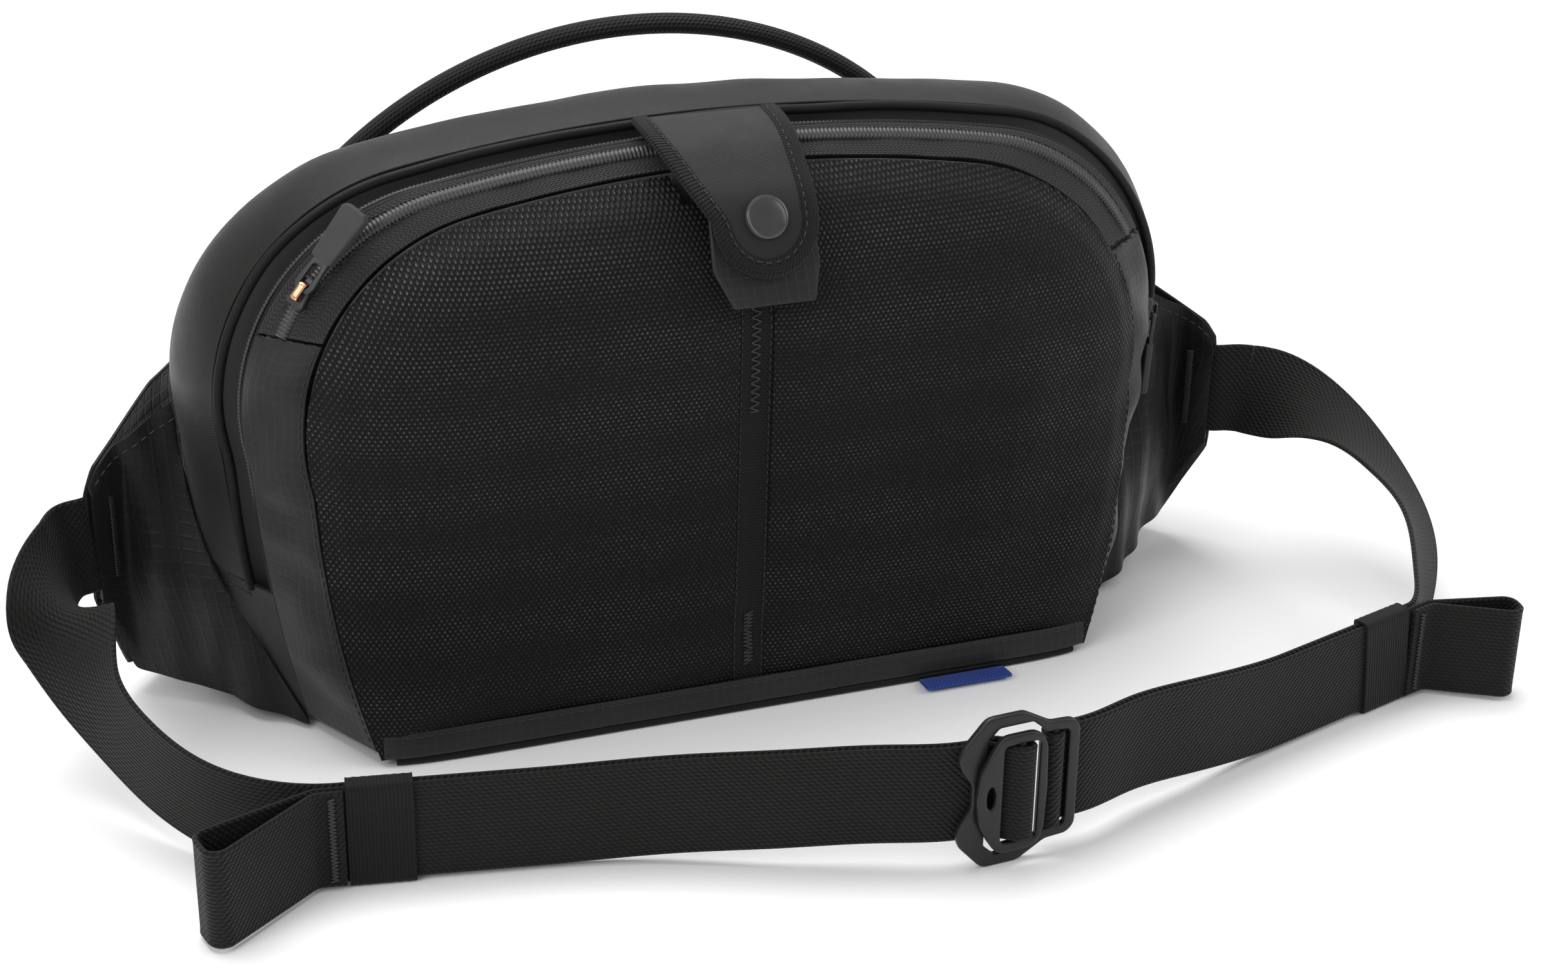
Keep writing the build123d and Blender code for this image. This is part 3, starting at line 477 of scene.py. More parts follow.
# ---- materials ----------------------------------------------------------------------------------
class Look:
    """One node material, drawn on the cloth coordinates or in space."""

    def __init__(self, name):
        self.material = bpy.data.materials.new(name)
        self.material.use_nodes = True
        self.tree = self.material.node_tree
        self.shader = next(n for n in self.tree.nodes if n.type == "BSDF_PRINCIPLED")
        cloth = self.tree.nodes.new("ShaderNodeAttribute")
        cloth.attribute_name = "cloth"
        parts = self.tree.nodes.new("ShaderNodeSeparateXYZ")
        self.tree.links.new(cloth.outputs["Vector"], parts.inputs[0])
        self.u, self.v, self.edge = parts.outputs
        self.space = self.tree.nodes.new("ShaderNodeTexCoord").outputs["Object"]

    def put(self, value, socket):
        if isinstance(value, (int, float)):
            socket.default_value = value
        elif isinstance(value, (tuple, list)):
            socket.default_value = (*value, 1.0)[: len(socket.default_value)]
        else:
            self.tree.links.new(value, socket)

    def math(self, operation, *values, clamp=False):
        node = self.tree.nodes.new("ShaderNodeMath")
        node.operation = operation
        node.use_clamp = clamp
        for socket, value in zip(node.inputs, values):
            self.put(value, socket)
        return node.outputs[0]

    def wave(self, coordinate, pitch, phase=0.0):
        """A cosine from -1 to 1 along a coordinate."""
        return self.math("COSINE", self.math("MULTIPLY_ADD", coordinate, 2 * pi / pitch, phase))

    def slant(self, a, b):
        """A coordinate that runs a shares along and b shares across."""
        return self.math("ADD", self.math("MULTIPLY", self.u, a), self.math("MULTIPLY", self.v, b))

    def grain(self, size, detail=3.0, rough=0.55):
        """Noise from 0 to 1 in space, with grains about as large as size in mm."""
        node = self.tree.nodes.new("ShaderNodeTexNoise")
        self.put(self.space, node.inputs["Vector"])
        node.inputs["Scale"].default_value = 1000.0 / size
        node.inputs["Detail"].default_value = detail
        node.inputs["Roughness"].default_value = rough
        return node.outputs["Fac"]

    def remap(self, value, low, high, to_low=0.0, to_high=1.0):
        node = self.tree.nodes.new("ShaderNodeMapRange")
        self.put(value, node.inputs["Value"])
        for key, number in (("From Min", low), ("From Max", high), ("To Min", to_low), ("To Max", to_high)):
            node.inputs[key].default_value = number
        return node.outputs["Result"]

    def mix(self, share, a, b):
        node = self.tree.nodes.new("ShaderNodeMix")
        node.data_type = "RGBA"
        self.put(share, node.inputs[0])
        self.put(a, node.inputs[6])
        self.put(b, node.inputs[7])
        return node.outputs[2]

    def done(self, color, height, deep, rough, **sockets):
        """Sets colour, bump with its depth in mm, roughness and any uniform socket of the shader."""
        bump = self.tree.nodes.new("ShaderNodeBump")
        bump.inputs["Strength"].default_value = 1.0
        bump.inputs["Distance"].default_value = deep * MM
        self.put(height, bump.inputs["Height"])
        self.put(bump.outputs["Normal"], self.shader.inputs["Normal"])
        self.put(color, self.shader.inputs["Base Color"])
        self.put(rough, self.shader.inputs["Roughness"])
        for key, value in sockets.items():
            self.put(value, self.shader.inputs[key.replace("_", " ")])
        return self.material


def grey(value, warm=0.0):
    """A grey as linear colour, a little warmer or colder."""
    return (value * (1 + warm), value, value * (1 - warm))


def coated(name, dark, light, grid=0.0, rough=0.5, sheen=0.25, warm=0.04):
    """Coated pack cloth: fine plain weave under a soft coating, with an optional ripstop grid."""
    k = Look(name)
    weave = k.math("MULTIPLY", k.wave(k.u, 0.9), k.wave(k.v, 0.9))
    patch = k.grain(38.0)
    height = k.math("ADD", k.math("MULTIPLY", weave, 0.35), k.math("MULTIPLY", k.grain(0.7), 0.9))
    share = k.math("ADD", k.remap(patch, 0.3, 0.7, 0.0, 0.6), k.math("MULTIPLY", weave, 0.12))
    if grid:
        line_u = k.math("POWER", k.remap(k.wave(k.u, grid), -1, 1), 10.0)
        line_v = k.math("POWER", k.remap(k.wave(k.v, grid), -1, 1), 10.0)
        lines = k.math("MAXIMUM", line_u, line_v)
        height = k.math("ADD", height, k.math("MULTIPLY", lines, 1.1))
        share = k.math("ADD", share, k.math("MULTIPLY", lines, 0.35))
    worn = k.remap(k.edge, 0.0, 2.2, 0.35, 0.0)
    share = k.math("ADD", share, worn, clamp=True)
    color = k.mix(share, grey(dark, warm), grey(light, warm))
    roughness = k.remap(k.grain(9.0), 0.2, 0.8, rough - 0.07, rough + 0.07)
    return k.done(
        color, height, 0.07, roughness,
        Sheen_Weight=sheen, Sheen_Roughness=0.45, Specular_IOR_Level=0.2,
    )


def knit(name, pitch, row, dark, light, deep, rough=0.5, sheen=0.2):
    """A stretch or spacer mesh: rows of knots, each row shifted by half, over dark holes; the knots are
    drawn lighter by a painted highlight (glint) in the colour.
    """
    k = Look(name)
    shifted = k.wave(k.u, pitch)
    rows = k.wave(k.v, 2 * row)
    knots = k.math("MULTIPLY", shifted, rows)
    lattice = k.math("ADD", knots, k.math("MULTIPLY", k.wave(k.v, row), 0.35))
    lift_up = k.remap(lattice, -0.6, 1.2)
    # Painted highlight: shine and glint light up the knots in the colour, brighter and dimmer in bands where
    # the mesh hangs slack.
    shine = k.math("POWER", k.math("MAXIMUM", lift_up, 0.0), 4.0)
    slack = k.math("ADD", k.math("MULTIPLY", k.wave(k.v, 23.0), 0.12), k.grain(60.0, 2.0))
    shine = k.math("MULTIPLY", shine, k.remap(slack, 0.35, 0.75, 0.45, 1.5))
    glint = k.math("MULTIPLY", shine, k.remap(k.grain(1.7, 1.0), 0.35, 0.75, 0.3, 1.1), clamp=True)
    color = k.mix(glint, (dark, dark, dark * 1.15), (light * 0.96, light * 0.96, light * 1.08))
    roughness = k.remap(glint, 0, 1, rough + 0.15, rough - 0.2)
    return k.done(
        color, lift_up, deep, roughness,
        Sheen_Weight=sheen, Sheen_Roughness=0.4, Specular_IOR_Level=0.15,
    )


def woven(name, dark, light, pitch_u, pitch_v, twill=0.0, deep=0.2, rough=0.62, warm=0.06, chevron=0.0):
    """Webbing, binding, zip tape or elastic: yarns along and across, with an optional twill; raised yarns
    are drawn lighter, a painted highlight.
    """
    k = Look(name)
    across = k.v
    if chevron:
        across = k.math("PINGPONG", k.v, chevron)
    slope = k.math("MULTIPLY_ADD", across, twill, k.u)
    yarn = k.wave(slope, pitch_u)
    cord = k.wave(k.v, pitch_v)
    height = k.math("ADD", k.math("MULTIPLY", yarn, 0.6), k.math("MULTIPLY", cord, 0.4))
    # Painted highlight: the colour follows the yarns' height, so raised yarns are lighter.
    share = k.remap(k.math("MULTIPLY", height, k.remap(k.grain(1.1, 2.0), 0.2, 0.8, 0.6, 1.3)), -0.7, 0.9)
    share = k.math("ADD", share, k.remap(k.edge, 0.0, 1.2, 0.3, 0.0), clamp=True)
    share = k.math("MULTIPLY", share, k.remap(k.grain(24.0), 0.3, 0.7, 0.75, 1.0))
    color = k.mix(share, grey(dark, warm), grey(light, warm))
    return k.done(
        color, height, deep, rough,
        Sheen_Weight=0.06, Sheen_Roughness=0.5, Specular_IOR_Level=0.15,
    )


def moulded(name, color_low, color_high, rough, grain=0.35, deep=0.03, metal=0.0, spec=0.5, coat=0.0):
    """Moulded rubber, plastic or painted metal, with a fine grain and paler worn edges."""
    k = Look(name)
    point = k.tree.nodes.new("ShaderNodeNewGeometry").outputs["Pointiness"]
    worn = k.remap(point, 0.52, 0.60)
    patch = k.math("MULTIPLY", k.grain(6.0), 0.5)
    share = k.math("ADD", patch, k.math("MULTIPLY", worn, 0.7), clamp=True)
    color = k.mix(share, color_low, color_high)
    roughness = k.remap(k.grain(2.5), 0.2, 0.8, rough - 0.05, rough + 0.06)
    return k.done(
        color, k.grain(grain), deep, roughness, Metallic=metal, Specular_IOR_Level=spec, Coat_Weight=coat
    )


shell_look = coated("coated_cloth", 0.0065, 0.013, rough=0.45, sheen=0.08, warm=0.06)
gusset_look = coated("ripstop_gusset", 0.012, 0.024, grid=3.4, rough=0.5, sheen=0.10, warm=0.03)
wing_look = coated("ripstop_wing", 0.0045, 0.009, grid=4.6, rough=0.40, sheen=0.06, warm=0.05)
trim_look = coated("trim_cloth", 0.004, 0.008, rough=0.55, sheen=0.03, warm=0.0)
lining_look = coated("lining_cloth", 0.05, 0.08, grid=4.0, rough=0.6, sheen=0.2, warm=0.0)
hem_look = coated("hem_cloth", 0.014, 0.026, grid=3.4, rough=0.5, sheen=0.06, warm=0.03)
panel_look = coated("flap_coating", 0.012, 0.019, rough=0.52, sheen=0.08, warm=-0.01)
mesh_look = knit("stretch_mesh", 1.65, 1.35, 0.0025, 0.085, 0.34, rough=0.42, sheen=0.02)
spacer_look = knit("spacer_mesh", 4.2, 2.4, 0.004, 0.03, 0.9, rough=0.6, sheen=0.03)
strip_look = woven("centre_webbing", 0.0025, 0.009, 1.5, 1.1, twill=0.8, deep=0.18)
webbing_look = woven("belt_webbing", 0.0028, 0.011, 2.0, 1.25, twill=0.9, deep=0.25, warm=0.09)
binding_look = woven("flap_binding", 0.0025, 0.011, 1.25, 0.95, twill=0.5, deep=0.22, warm=0.0)
tape_look = woven("zip_tape", 0.012, 0.040, 1.5, 0.8, twill=1.0, deep=0.14, warm=0.0, chevron=1.6)
handle_look = woven("handle_braid", 0.0035, 0.013, 1.6, 1.3, twill=0.8, deep=0.25, warm=0.02)
elastic_look = woven("keeper_elastic", 0.003, 0.010, 1.1, 40.0, deep=0.2, warm=0.02)
tag_look = woven("tag_ribbon", 0.03, 0.09, 1.2, 0.9, deep=0.12)
thread_look = moulded("thread", grey(0.007), grey(0.020), 0.55, grain=0.5, deep=0.05)
coil_look = moulded("zip_coil", grey(0.012), grey(0.040), 0.38, deep=0.01)
snap_look = moulded("snap_cap", grey(0.014), grey(0.045), 0.26, deep=0.006, spec=0.7)
buckle_look = moulded("buckle_metal", grey(0.007), grey(0.022), 0.38, deep=0.006, spec=0.3, coat=0.04)
copper_look = moulded("bail_copper", (0.55, 0.22, 0.12), (0.92, 0.55, 0.38), 0.27, deep=0.006, metal=1.0)
zinc_look = moulded("pull_zinc", grey(0.009), grey(0.035), 0.36, deep=0.008, spec=0.45)
grip_look = moulded("pull_rubber", grey(0.040), grey(0.070), 0.6, grain=0.5, deep=0.05, spec=0.2)
foam_look = moulded("foam", grey(0.10), grey(0.16), 0.9, grain=1.2, deep=0.2)
tag_shader = tag_look.node_tree
for node in tag_shader.nodes:
    if node.type == "MIX":
        node.inputs[6].default_value = (0.012, 0.03, 0.16, 1)
        node.inputs[7].default_value = (0.035, 0.09, 0.42, 1)

# ---- main compartment ---------------------------------------------------------------------------
AROUND = 150
shares = np.linspace(0, 1, 17)
shell_rows = np.stack([arch(shell_section(s), 0.0, BAND_END_Z, AROUND) for s in shares], 1)
sag = np.sin(shares * pi)[None, :] ** 0.5
fold = ripple(shell_rows, 55.0, 1) * 1.1 + ripple(shell_rows, 20.0, 2) * 0.35
shell_rows = shell_rows + radial(shell_rows) * (fold * sag)[..., None]
skin("shell", shell_rows, 1.2, shell_look, "bag", ["main_shell"])

base_shares = list(shares[::2]) + [1.5, 2.0]
base_lines = []
for s in base_shares:
    section = shell_section(s) if s <= 1 else between(SHELL_EDGE, POCKET_EDGE, s - 1)
    base_lines.append(under(section, 0.0, BAND_END_Z - 0.3, 160))
base_rows = np.stack(base_lines, 1)
crush = ripple(base_rows, 26.0, 3) * np.clip(base_rows[..., 2] / 18, 0, 1) * 0.9
middle = np.sin(np.linspace(0, pi, base_rows.shape[1]))[None, :]
base_rows = base_rows + radial(base_rows) * (crush * middle)[..., None]
_, base_normals = skin("base", base_rows, 1.2, shell_look, "bag", ["base_panel"])

floor_lines = []
for s in np.linspace(0, 1, 6):
    floor_lines.append(under(between(POCKET_EDGE, PANEL, s), 0.0, 6.0, 120))
floor_rows = np.stack(floor_lines, 1)
skin("base_front", floor_rows, 1.2, shell_look, "bag", core=np.array([0, -30.0, 60]))

back_out = (BACK[0] + 1.5, *BACK[1:])


# ---- patches over the D shape -------------------------------------------------------------------
def patch(bottom, right, top, left):
    """A grid between four lines: bottom and top run left to right, left and right run upward."""
    n, m = len(bottom), len(left)
    s, t = np.linspace(0, 1, n)[:, None, None], np.linspace(0, 1, m)[None, :, None]
    corners = (
        (1 - s) * (1 - t) * bottom[0] + s * (1 - t) * bottom[-1]
        + (1 - s) * t * top[0] + s * t * top[-1]
    )
    sides = (1 - t) * bottom[:, None] + t * top[:, None] + (1 - s) * left[None] + s * right[None]
    return sides - corners


def d_patch(section, grow, from_x, to_x, wide, tall):
    """A grid of (x, up) over part of a section's D shape, between two upright lines."""
    line = rim_flat(section, grow)
    base = line[0, 1]
    foot = -line[0, 0]
    start = int(len(line) * 0.30)

    def upper(x):
        arch_part = line[start:-start]
        return np.array([x, np.interp(x, arch_part[:, 0], arch_part[:, 1])])

    left_end = line[start] if from_x < -200 else upper(from_x)
    right_end = line[-1 - start] if to_x > 200 else upper(to_x)
    inner = line[start:-start]
    inner = inner[(inner[:, 0] > left_end[0]) & (inner[:, 0] < right_end[0])]
    top = resample(np.concatenate([[left_end], inner, [right_end]]), wide)
    low_left = np.array([max(from_x, -foot), base])
    low_right = np.array([min(to_x, foot), base])
    left = line[: start + 1] if from_x < -200 else np.array([low_left, left_end])
    right = line[::-1][: start + 1] if to_x > 200 else np.array([low_right, right_end])
    bottom = np.linspace(low_left, low_right, wide)
    return patch(bottom, resample(right, tall), top, resample(left, tall))


def inset_of(flat, section, grow=0.0):
    """How far points (x, up) lie inside a section's outline."""
    line = resample(rim_flat(section, grow), 260)
    points = flat.reshape(-1, 2)
    near = np.full(len(points), 1e9)
    for a in np.array_split(line, 8):
        near = np.minimum(near, np.linalg.norm(points[:, None] - a[None], axis=2).min(1))
    near = np.minimum(near, points[:, 1] - line[0, 1])
    return np.maximum(near, 0).reshape(flat.shape[:-1])


# ---- stretch mesh -------------------------------------------------------------------------------
BULGE_AT = (0.0, 5.0, 18.0, 42.0)
BULGE_FOOT = (0.0, 1.0, 2.0, 2.5)
BULGE_RISE = (0.0, 0.06, 0.11, 0.15)


def mesh_front(flat, dip=0.0):
    """Points (x, up) of the panel's front view on the bulging face of the mesh."""
    inside = inset_of(flat, PANEL)
    soft = 3.0
    steps = [inside - soft, inside, inside + soft]
    foot = sum(np.interp(s, BULGE_AT, BULGE_FOOT) for s in steps) / 3
    rise = sum(np.interp(s, BULGE_AT, BULGE_RISE) for s in steps) / 3
    high = flat[..., 1]
    x = flat[..., 0]
    seam = np.exp(-((x / 9.0) ** 2)) * np.clip((high - 8) / 20, 0, 1)
    forward = foot + rise * high - dip * seam * np.clip(inside / 12, 0, 1)
    points = lift(PANEL, flat)
    points[..., 1] = points[..., 1] - 0.3 - forward
    return points, inside


for side, name in ((-1, "left"), (1, "right")):
    from_x, to_x = (-999, -5.5) if side < 0 else (5.5, 999)
    flat = d_patch(PANEL, -0.4, from_x, to_x, 74, 84)
    rows, inside = mesh_front(flat, 2.6)
    slack = ripple(rows, 48.0, 4) * 0.8 + ripple(rows * (1, 1, 0.5), 17.0, 5) * 0.25
    rows[..., 1] += slack * np.clip(inside / 16, 0, 1)
    hole = (np.abs(flat[..., 0] + 3) < 18) & (flat[..., 1] > 172.5)
    piece, _ = skin(
        f"mesh_{name}", rows, 0.9, mesh_look, "bag", [f"mesh_{name}"], drop=hole
    )
    place = np.array([v.co[:] for v in piece.data.vertices], np.float32) / MM
    cloth = np.stack([place[:, 0], place[:, 2] * 1.02, np.full(len(place), 9.0)], 1).astype(np.float32)
    piece.data.attributes["cloth"].data.foreach_set("vector", cloth.ravel())

wall_rows = lift(PANEL, d_patch(PANEL, -1.5, -999, 999, 90, 50))
wall_rows[..., 1] += 0.3
skin("pocket_wall", wall_rows, 1.2, lining_look, "bag", ["pocket_wall"])

# ---- front pocket: gussets and zip band ---------------------------------------------------------
rim_shares = np.linspace(0, 1, 12)
seam_lines = []
for side, name in ((-1, "left"), (1, "right")):
    lines = [
        side_line(between(POCKET_FRONT, PANEL, s), side, 5.5, ZIP_END_Z - 0.3, 110) for s in rim_shares
    ]
    rows = np.stack(lines, 1)
    outward = facing(rows, CORE)
    flare = np.sin(rim_shares * pi)[None, :] ** 0.7
    ends = np.clip((rows[..., 2] - 8) / 25, 0, 1) * np.clip((ZIP_END_Z + 12 - rows[..., 2]) / 30, 0, 1)
    billow = (1.6 + ripple(rows * (1, 0.4, 1.4), 22.0, 6 + side) * 2.5) * flare * ends
    rows = rows + outward * billow[..., None]
    _, out = skin(
        f"gusset_{name}", rows, 1.2, gusset_look, "bag", [f"side_gusset_{name}"]
    )
    seam = rows[:, -2] * 0.55 + rows[:, -1] * 0.45
    seam_lines.append((seam[3:-3], out[3:-3, -2]))


def rim_band(name, start, end, count, node, waves):
    """A zip tape on the pocket's sloping rim above the zip's ends, between two shares."""
    lines = []
    for s in np.linspace(start, end, count):
        lines.append(arch(between(POCKET_FRONT, PANEL, s), 0.0, ZIP_END_Z, 130))
    rows = np.stack(lines, 1)
    out = facing(rows, CORE)
    rows = rows + out * (ripple(rows, 15.0, 9) * waves)[..., None]
    return rows, skin(name, rows, 0.8, tape_look, "bag", [node])


TAPE_EDGE = 0.005
upper_rows, (_, out) = rim_band(
    "zip_upper_tape", 0.0, COIL_AT[0] - TAPE_EDGE, 6, "front_zip_upper_tape", waves=0.3
)
seam_lines.append((upper_rows[4:-4, 3], out[4:-4, 3]))
lower_rows, (_, out) = rim_band(
    "zip_lower_tape", COIL_AT[1] - TAPE_EDGE, 1.0, 9, "front_zip_lower_tape", waves=0.45
)
seam_lines.append((lower_rows[4:-4, 1], out[4:-4, 1]))
stitches("rim_stitches", seam_lines)


def coil(name, path, out, radius, pitch, node, thin=0.6):
    """A zip coil: a cord of fused turns, with every turn standing proud."""
    both = resample(np.concatenate([path, out], 1), step=pitch / 4)
    line, across = both[:, :3], unit(both[:, 3:])
    turns = 1 + 0.16 * np.cos(lengths(line) * 2 * pi / pitch)
    rows = sweep(line, across, ellipse(radius * thin, radius, 8), turns)
    return tube(name, rows, coil_look, "bag", [node], sharp=70)


coil_line = arch(between(POCKET_FRONT, PANEL, sum(COIL_AT) / 2), 0.1, ZIP_END_Z, 400)
coil_up = unit(np.gradient(coil_line, axis=0))
coil_side = unit(arch(between(POCKET_FRONT, PANEL, 0.5), 0.1, ZIP_END_Z, 400) - coil_line)
coil_out = np.cross(coil_up, coil_side)
coil_out *= np.sign(np.sum(coil_out * (coil_line - CORE)))
coil("front_coil", coil_line, coil_out, 2.2, 1.3, "front_zip_coil", thin=0.45)

# ---- main zip in its groove ---------------------------------------------------------------------
for name, section, y, node in (
    ("rear_lip", SHELL_EDGE, -9.7, "main_zip_rear_lip"),
    ("front_lip", POCKET_EDGE, -17.2, "main_zip_front_lip"),
):
    at = (y, *section[1:])
    path = arch(at, -1.5, BAND_END_Z - 2, 240)
    wobble = ripple(path, 30.0, 12) * 0.5
    path = path + radial(path) * wobble[:, None]
    rows = sweep(path, np.tile([0.0, 1.0, 0.0], (len(path), 1)), ellipse(1.45, 1.6, 14))
    tube(name, rows, trim_look, "bag", [node])
GROOVE = between(SHELL_EDGE, POCKET_EDGE, 0.5)
tape_rows = np.stack(
    [arch((y, *GROOVE[1:]), -4.6, BAND_END_Z - 2, 140) for y in (-11.4, -12.6, -14.0, -15.2)], 1
)
skin("main_tape", tape_rows, 1.0, tape_look, "bag", ["main_zip_tape"])
main_line = arch((-13.2, *GROOVE[1:]), -3.7, BAND_END_Z, 500)
coil("main_coil", main_line, radial(main_line), 1.1, 1.3, "main_zip_coil", thin=0.7)

# ---- centre strip, binding, piping, tag ---------------------------------------------------------
strip_up = np.linspace(5.0, 170.0, 120)
strip_x = np.linspace(-6.2, 6.2, 9)
strip_flat = np.stack(np.meshgrid(strip_x, strip_up, indexing="ij"), -1)
strip_rows, _ = mesh_front(strip_flat, 2.6)
strip_rows[..., 1] -= 0.5 * (1 - (strip_x / 6.2) ** 4)[:, None]
strip_rows[..., 1] += 0.8
_, strip_out = skin("centre_strip", strip_rows, 1.2, strip_look, "bag", ["centre_strip"])
column = [(strip_rows[k, 3:-3], strip_out[k, 3:-3]) for k in (1, 7)]


def zigzag(rows, out, low, high, turns, left, right):
    """A bartack: dense thread to and fro across a strip between two of its rows."""
    at = np.linspace(low, high, turns * 2)
    line, up = [], []
    for k, i in enumerate(at):
        j = left if k % 2 == 0 else right
        line.append(rows[j, int(i)])
        up.append(out[j, int(i)])
    return np.array(line), np.array(up)


def thread(name, line, out, radius, body="bag"):
    """A sewn thread lying on fabric."""
    both = resample(np.concatenate([line, out], 1), step=0.5)
    up = unit(both[:, 3:])
    rows = sweep(both[:, :3] + up * radius * 0.5, up, ellipse(radius, radius, 6))
    return tube(name, rows, thread_look, body, sharp=80)


stitches("strip_stitches", column, pitch=2.8, long=2.0, wide=0.45)
for name, low, high in (("upper", 74, 104), ("lower", 8, 22)):
    line, up = zigzag(strip_rows, strip_out, low, high, 16, 3, 5)
    thread(f"strip_bartack_{name}", line, up, 0.32)

BIND = (PANEL[0] - 3.9, *PANEL[1:])
bind_x = np.linspace(-120, 120, 90)
bind_up = np.linspace(3.0, 11.6, 7)
bind_flat = np.stack(np.meshgrid(bind_x, bind_up, indexing="ij"), -1)
bind_rows = lift(BIND, bind_flat)
roll = 0.5 * np.cos((bind_up - 7.3) / 4.3 * pi / 2)
bind_rows[..., 1] -= roll[None, :] - 0.1
bind_rows[..., 1] += 2.6 * (np.abs(bind_x) / 120)[:, None] ** 16
bind_rows[..., 1] += ripple(bind_rows, 24.0, 14) * 0.25
_, bind_out = skin(
    "front_binding", bind_rows, 1.0, hem_look, "bag", ["front_binding"],
    core=np.array([0, 0, 7.0]),
)
stitches("binding_stitches", [(bind_rows[3:-3, 5], bind_out[3:-3, 5])])
pipe_path = np.stack([np.linspace(-116, 116, 120), np.full(120, -52.2), np.full(120, 1.5)], 1)
pipe_path[:, 1] += 2.0 * (np.abs(pipe_path[:, 0]) / 116) ** 12
rows = sweep(pipe_path, np.tile([0.0, 1.0, 0.0], (120, 1)), ellipse(1.4, 1.4, 12))
tube("front_piping", rows, trim_look, "bag", ["front_piping"])
TAG_FOLD = (
    (-54.0, 1.4), (-58.0, 2.1), (-61.0, 2.5), (-62.4, 2.2), (-61.6, 1.2), (-58.0, 0.9), (-54.0, 0.5),
)
tag_line = rounded(TAG_FOLD, 0.6)
tag_rows = np.stack([np.insert(tag_line, 0, x, axis=1) for x in np.linspace(59, 89, 16)], 0)
skin("side_tag", tag_rows, 0.35, tag_look, "bag", ["side_tag"], core=np.array([74, -57.0, 1.5]))

# ---- flap ---------------------------------------------------------------------------------------
FLAP_KNOTS = (
    (-14.5, 191.5), (-23.5, 191.2), (-33.5, 188.6), (-44.0, 182.6), (-53.0, 175.9), (-64.0, 154.0),
)
SNAP_AT = (2.0, -55.689, 171.0)
SNAP_OUT = (0.0, -0.8984, 0.4392)
flap_yz = spline(np.insert(np.array(FLAP_KNOTS), 0, 0, axis=1), (0, -1, 0.02), (0, -0.45, -0.9), 160)
flap_s = lengths(flap_yz)
flap_down = unit(np.gradient(flap_yz, axis=0))
flap_up = np.stack([np.zeros(160), flap_down[:, 2], -flap_down[:, 1]], 1)


def on_flap(x, s, raise_by):
    """Points at x and a distance s down the flap, raised off its outer face."""
    spot = np.stack([np.interp(s, flap_s, flap_yz[:, k]) for k in range(3)], -1)
    up = unit(np.stack([np.interp(s, flap_s, flap_up[:, k]) for k in range(3)], -1))
    spot = spot + up * np.asarray(raise_by)[..., None]
    spot[..., 0] += x
    return spot


def flap_edge(inset, count=150):
    """The flap's outline as (x, s), from the top left round the tip to the top right."""
    s = np.linspace(0, flap_s[-1], 200)
    z = np.interp(s, flap_s, flap_yz[:, 2])
    share = (200 - z) / 29.0
    half = 26.0 + (16.5 - 26.0) * share
    centre = -6.0 + 8.0 * share
    body = z > 171.0
    left = np.stack([centre - half + inset, s], 1)[body]
    right = np.stack([centre + half - inset, s], 1)[body][::-1]
    tip_s = left[-1, 1]
    radius = 16.5 - inset
    drop = (flap_s[-1] - tip_s - 1.0) / 16.5
    angle = np.linspace(pi, 2 * pi, 60)[1:-1]
    tip = np.stack([2.0 + radius * np.cos(angle), tip_s - radius * np.sin(angle) * drop], 1)
    return resample(np.concatenate([left, tip, right]), count)


outer_edge, inner_edge = flap_edge(0.0), flap_edge(5.2)
mid_edge = flap_edge(4.3)
half_count = len(mid_edge) // 2
left_edge, right_edge = mid_edge[:half_count], mid_edge[::-1][:half_count]
across = np.linspace(0, 1, 22)
panel_flat = left_edge[:, None] * (1 - across[None, :, None]) + right_edge[:, None] * across[None, :, None]
panel_rows = on_flap(panel_flat[..., 0], panel_flat[..., 1], np.full(panel_flat.shape[:2], -0.25))
skin(
    "flap_panel", panel_rows, 1.5, panel_look, "flap", ["flap_panel"],
    core=np.array([0, -20.0, 150]),
)
bind_loop = []
for share, up in (
    (0.0, 0.05), (0.12, 0.35), (0.5, 0.45), (0.85, 0.4), (1.0, 0.0), (1.06, -0.9),
    (1.0, -1.9), (0.85, -2.2), (0.5, -2.2), (0.1, -2.1), (0.0, -1.8), (0.0, -0.9),
):
    edge = inner_edge * (1 - share) + outer_edge * share
    bind_loop.append(on_flap(edge[:, 0], edge[:, 1], np.full(len(edge), up)))
bind_rows = np.stack(bind_loop, 1)
bind_cloth = np.zeros(bind_rows.shape)
bind_cloth[..., 0] = lengths(bind_rows[:, 2])[:, None]
bind_cloth[..., 1] = np.array([0, 0.6, 2.6, 4.4, 5.2, 6.0, 6.8, 7.6, 9.4, 11.4, 12.0, 12.4])[None]
bind_cloth[..., 2] = 9.0
tube(
    "flap_binding", bind_rows, binding_look, "flap", ["flap_binding"], bind_cloth, sharp=60
)
sew_edge = flap_edge(4.0)[4:-4]
sew_line = on_flap(sew_edge[:, 0], sew_edge[:, 1], np.full(len(sew_edge), 0.42))
sew_up = on_flap(sew_edge[:, 0], sew_edge[:, 1], np.full(len(sew_edge), 1.42)) - sew_line
stitches("flap_stitches", [(sew_line, sew_up)], "flap", pitch=3.0, long=2.1, wide=0.45)

snap_plane = plane_matrix(SNAP_AT, (1, 0, 0), SNAP_OUT)


def lathe(name, profile, place, look, body, replaces=(), spokes=48):
    """A turned form from (radius, height) points, on a plane."""
    points, faces = [], []
    for r, h in profile:
        for k in range(spokes):
            t = 2 * pi * k / spokes
            points.append(place @ (Vector((r * cos(t), r * sin(t), h)) * MM) / MM)
    for i in range(len(profile) - 1):
        for k in range(spokes):
            a, b = i * spokes + k, i * spokes + (k + 1) % spokes
            faces.append([a, b, b + spokes, a + spokes])
    faces.append(list(range(spokes))[::-1])
    faces.append([(len(profile) - 1) * spokes + k for k in range(spokes)])
    return make(name, np.array(points), faces, np.array(points), look, body, replaces, 32)


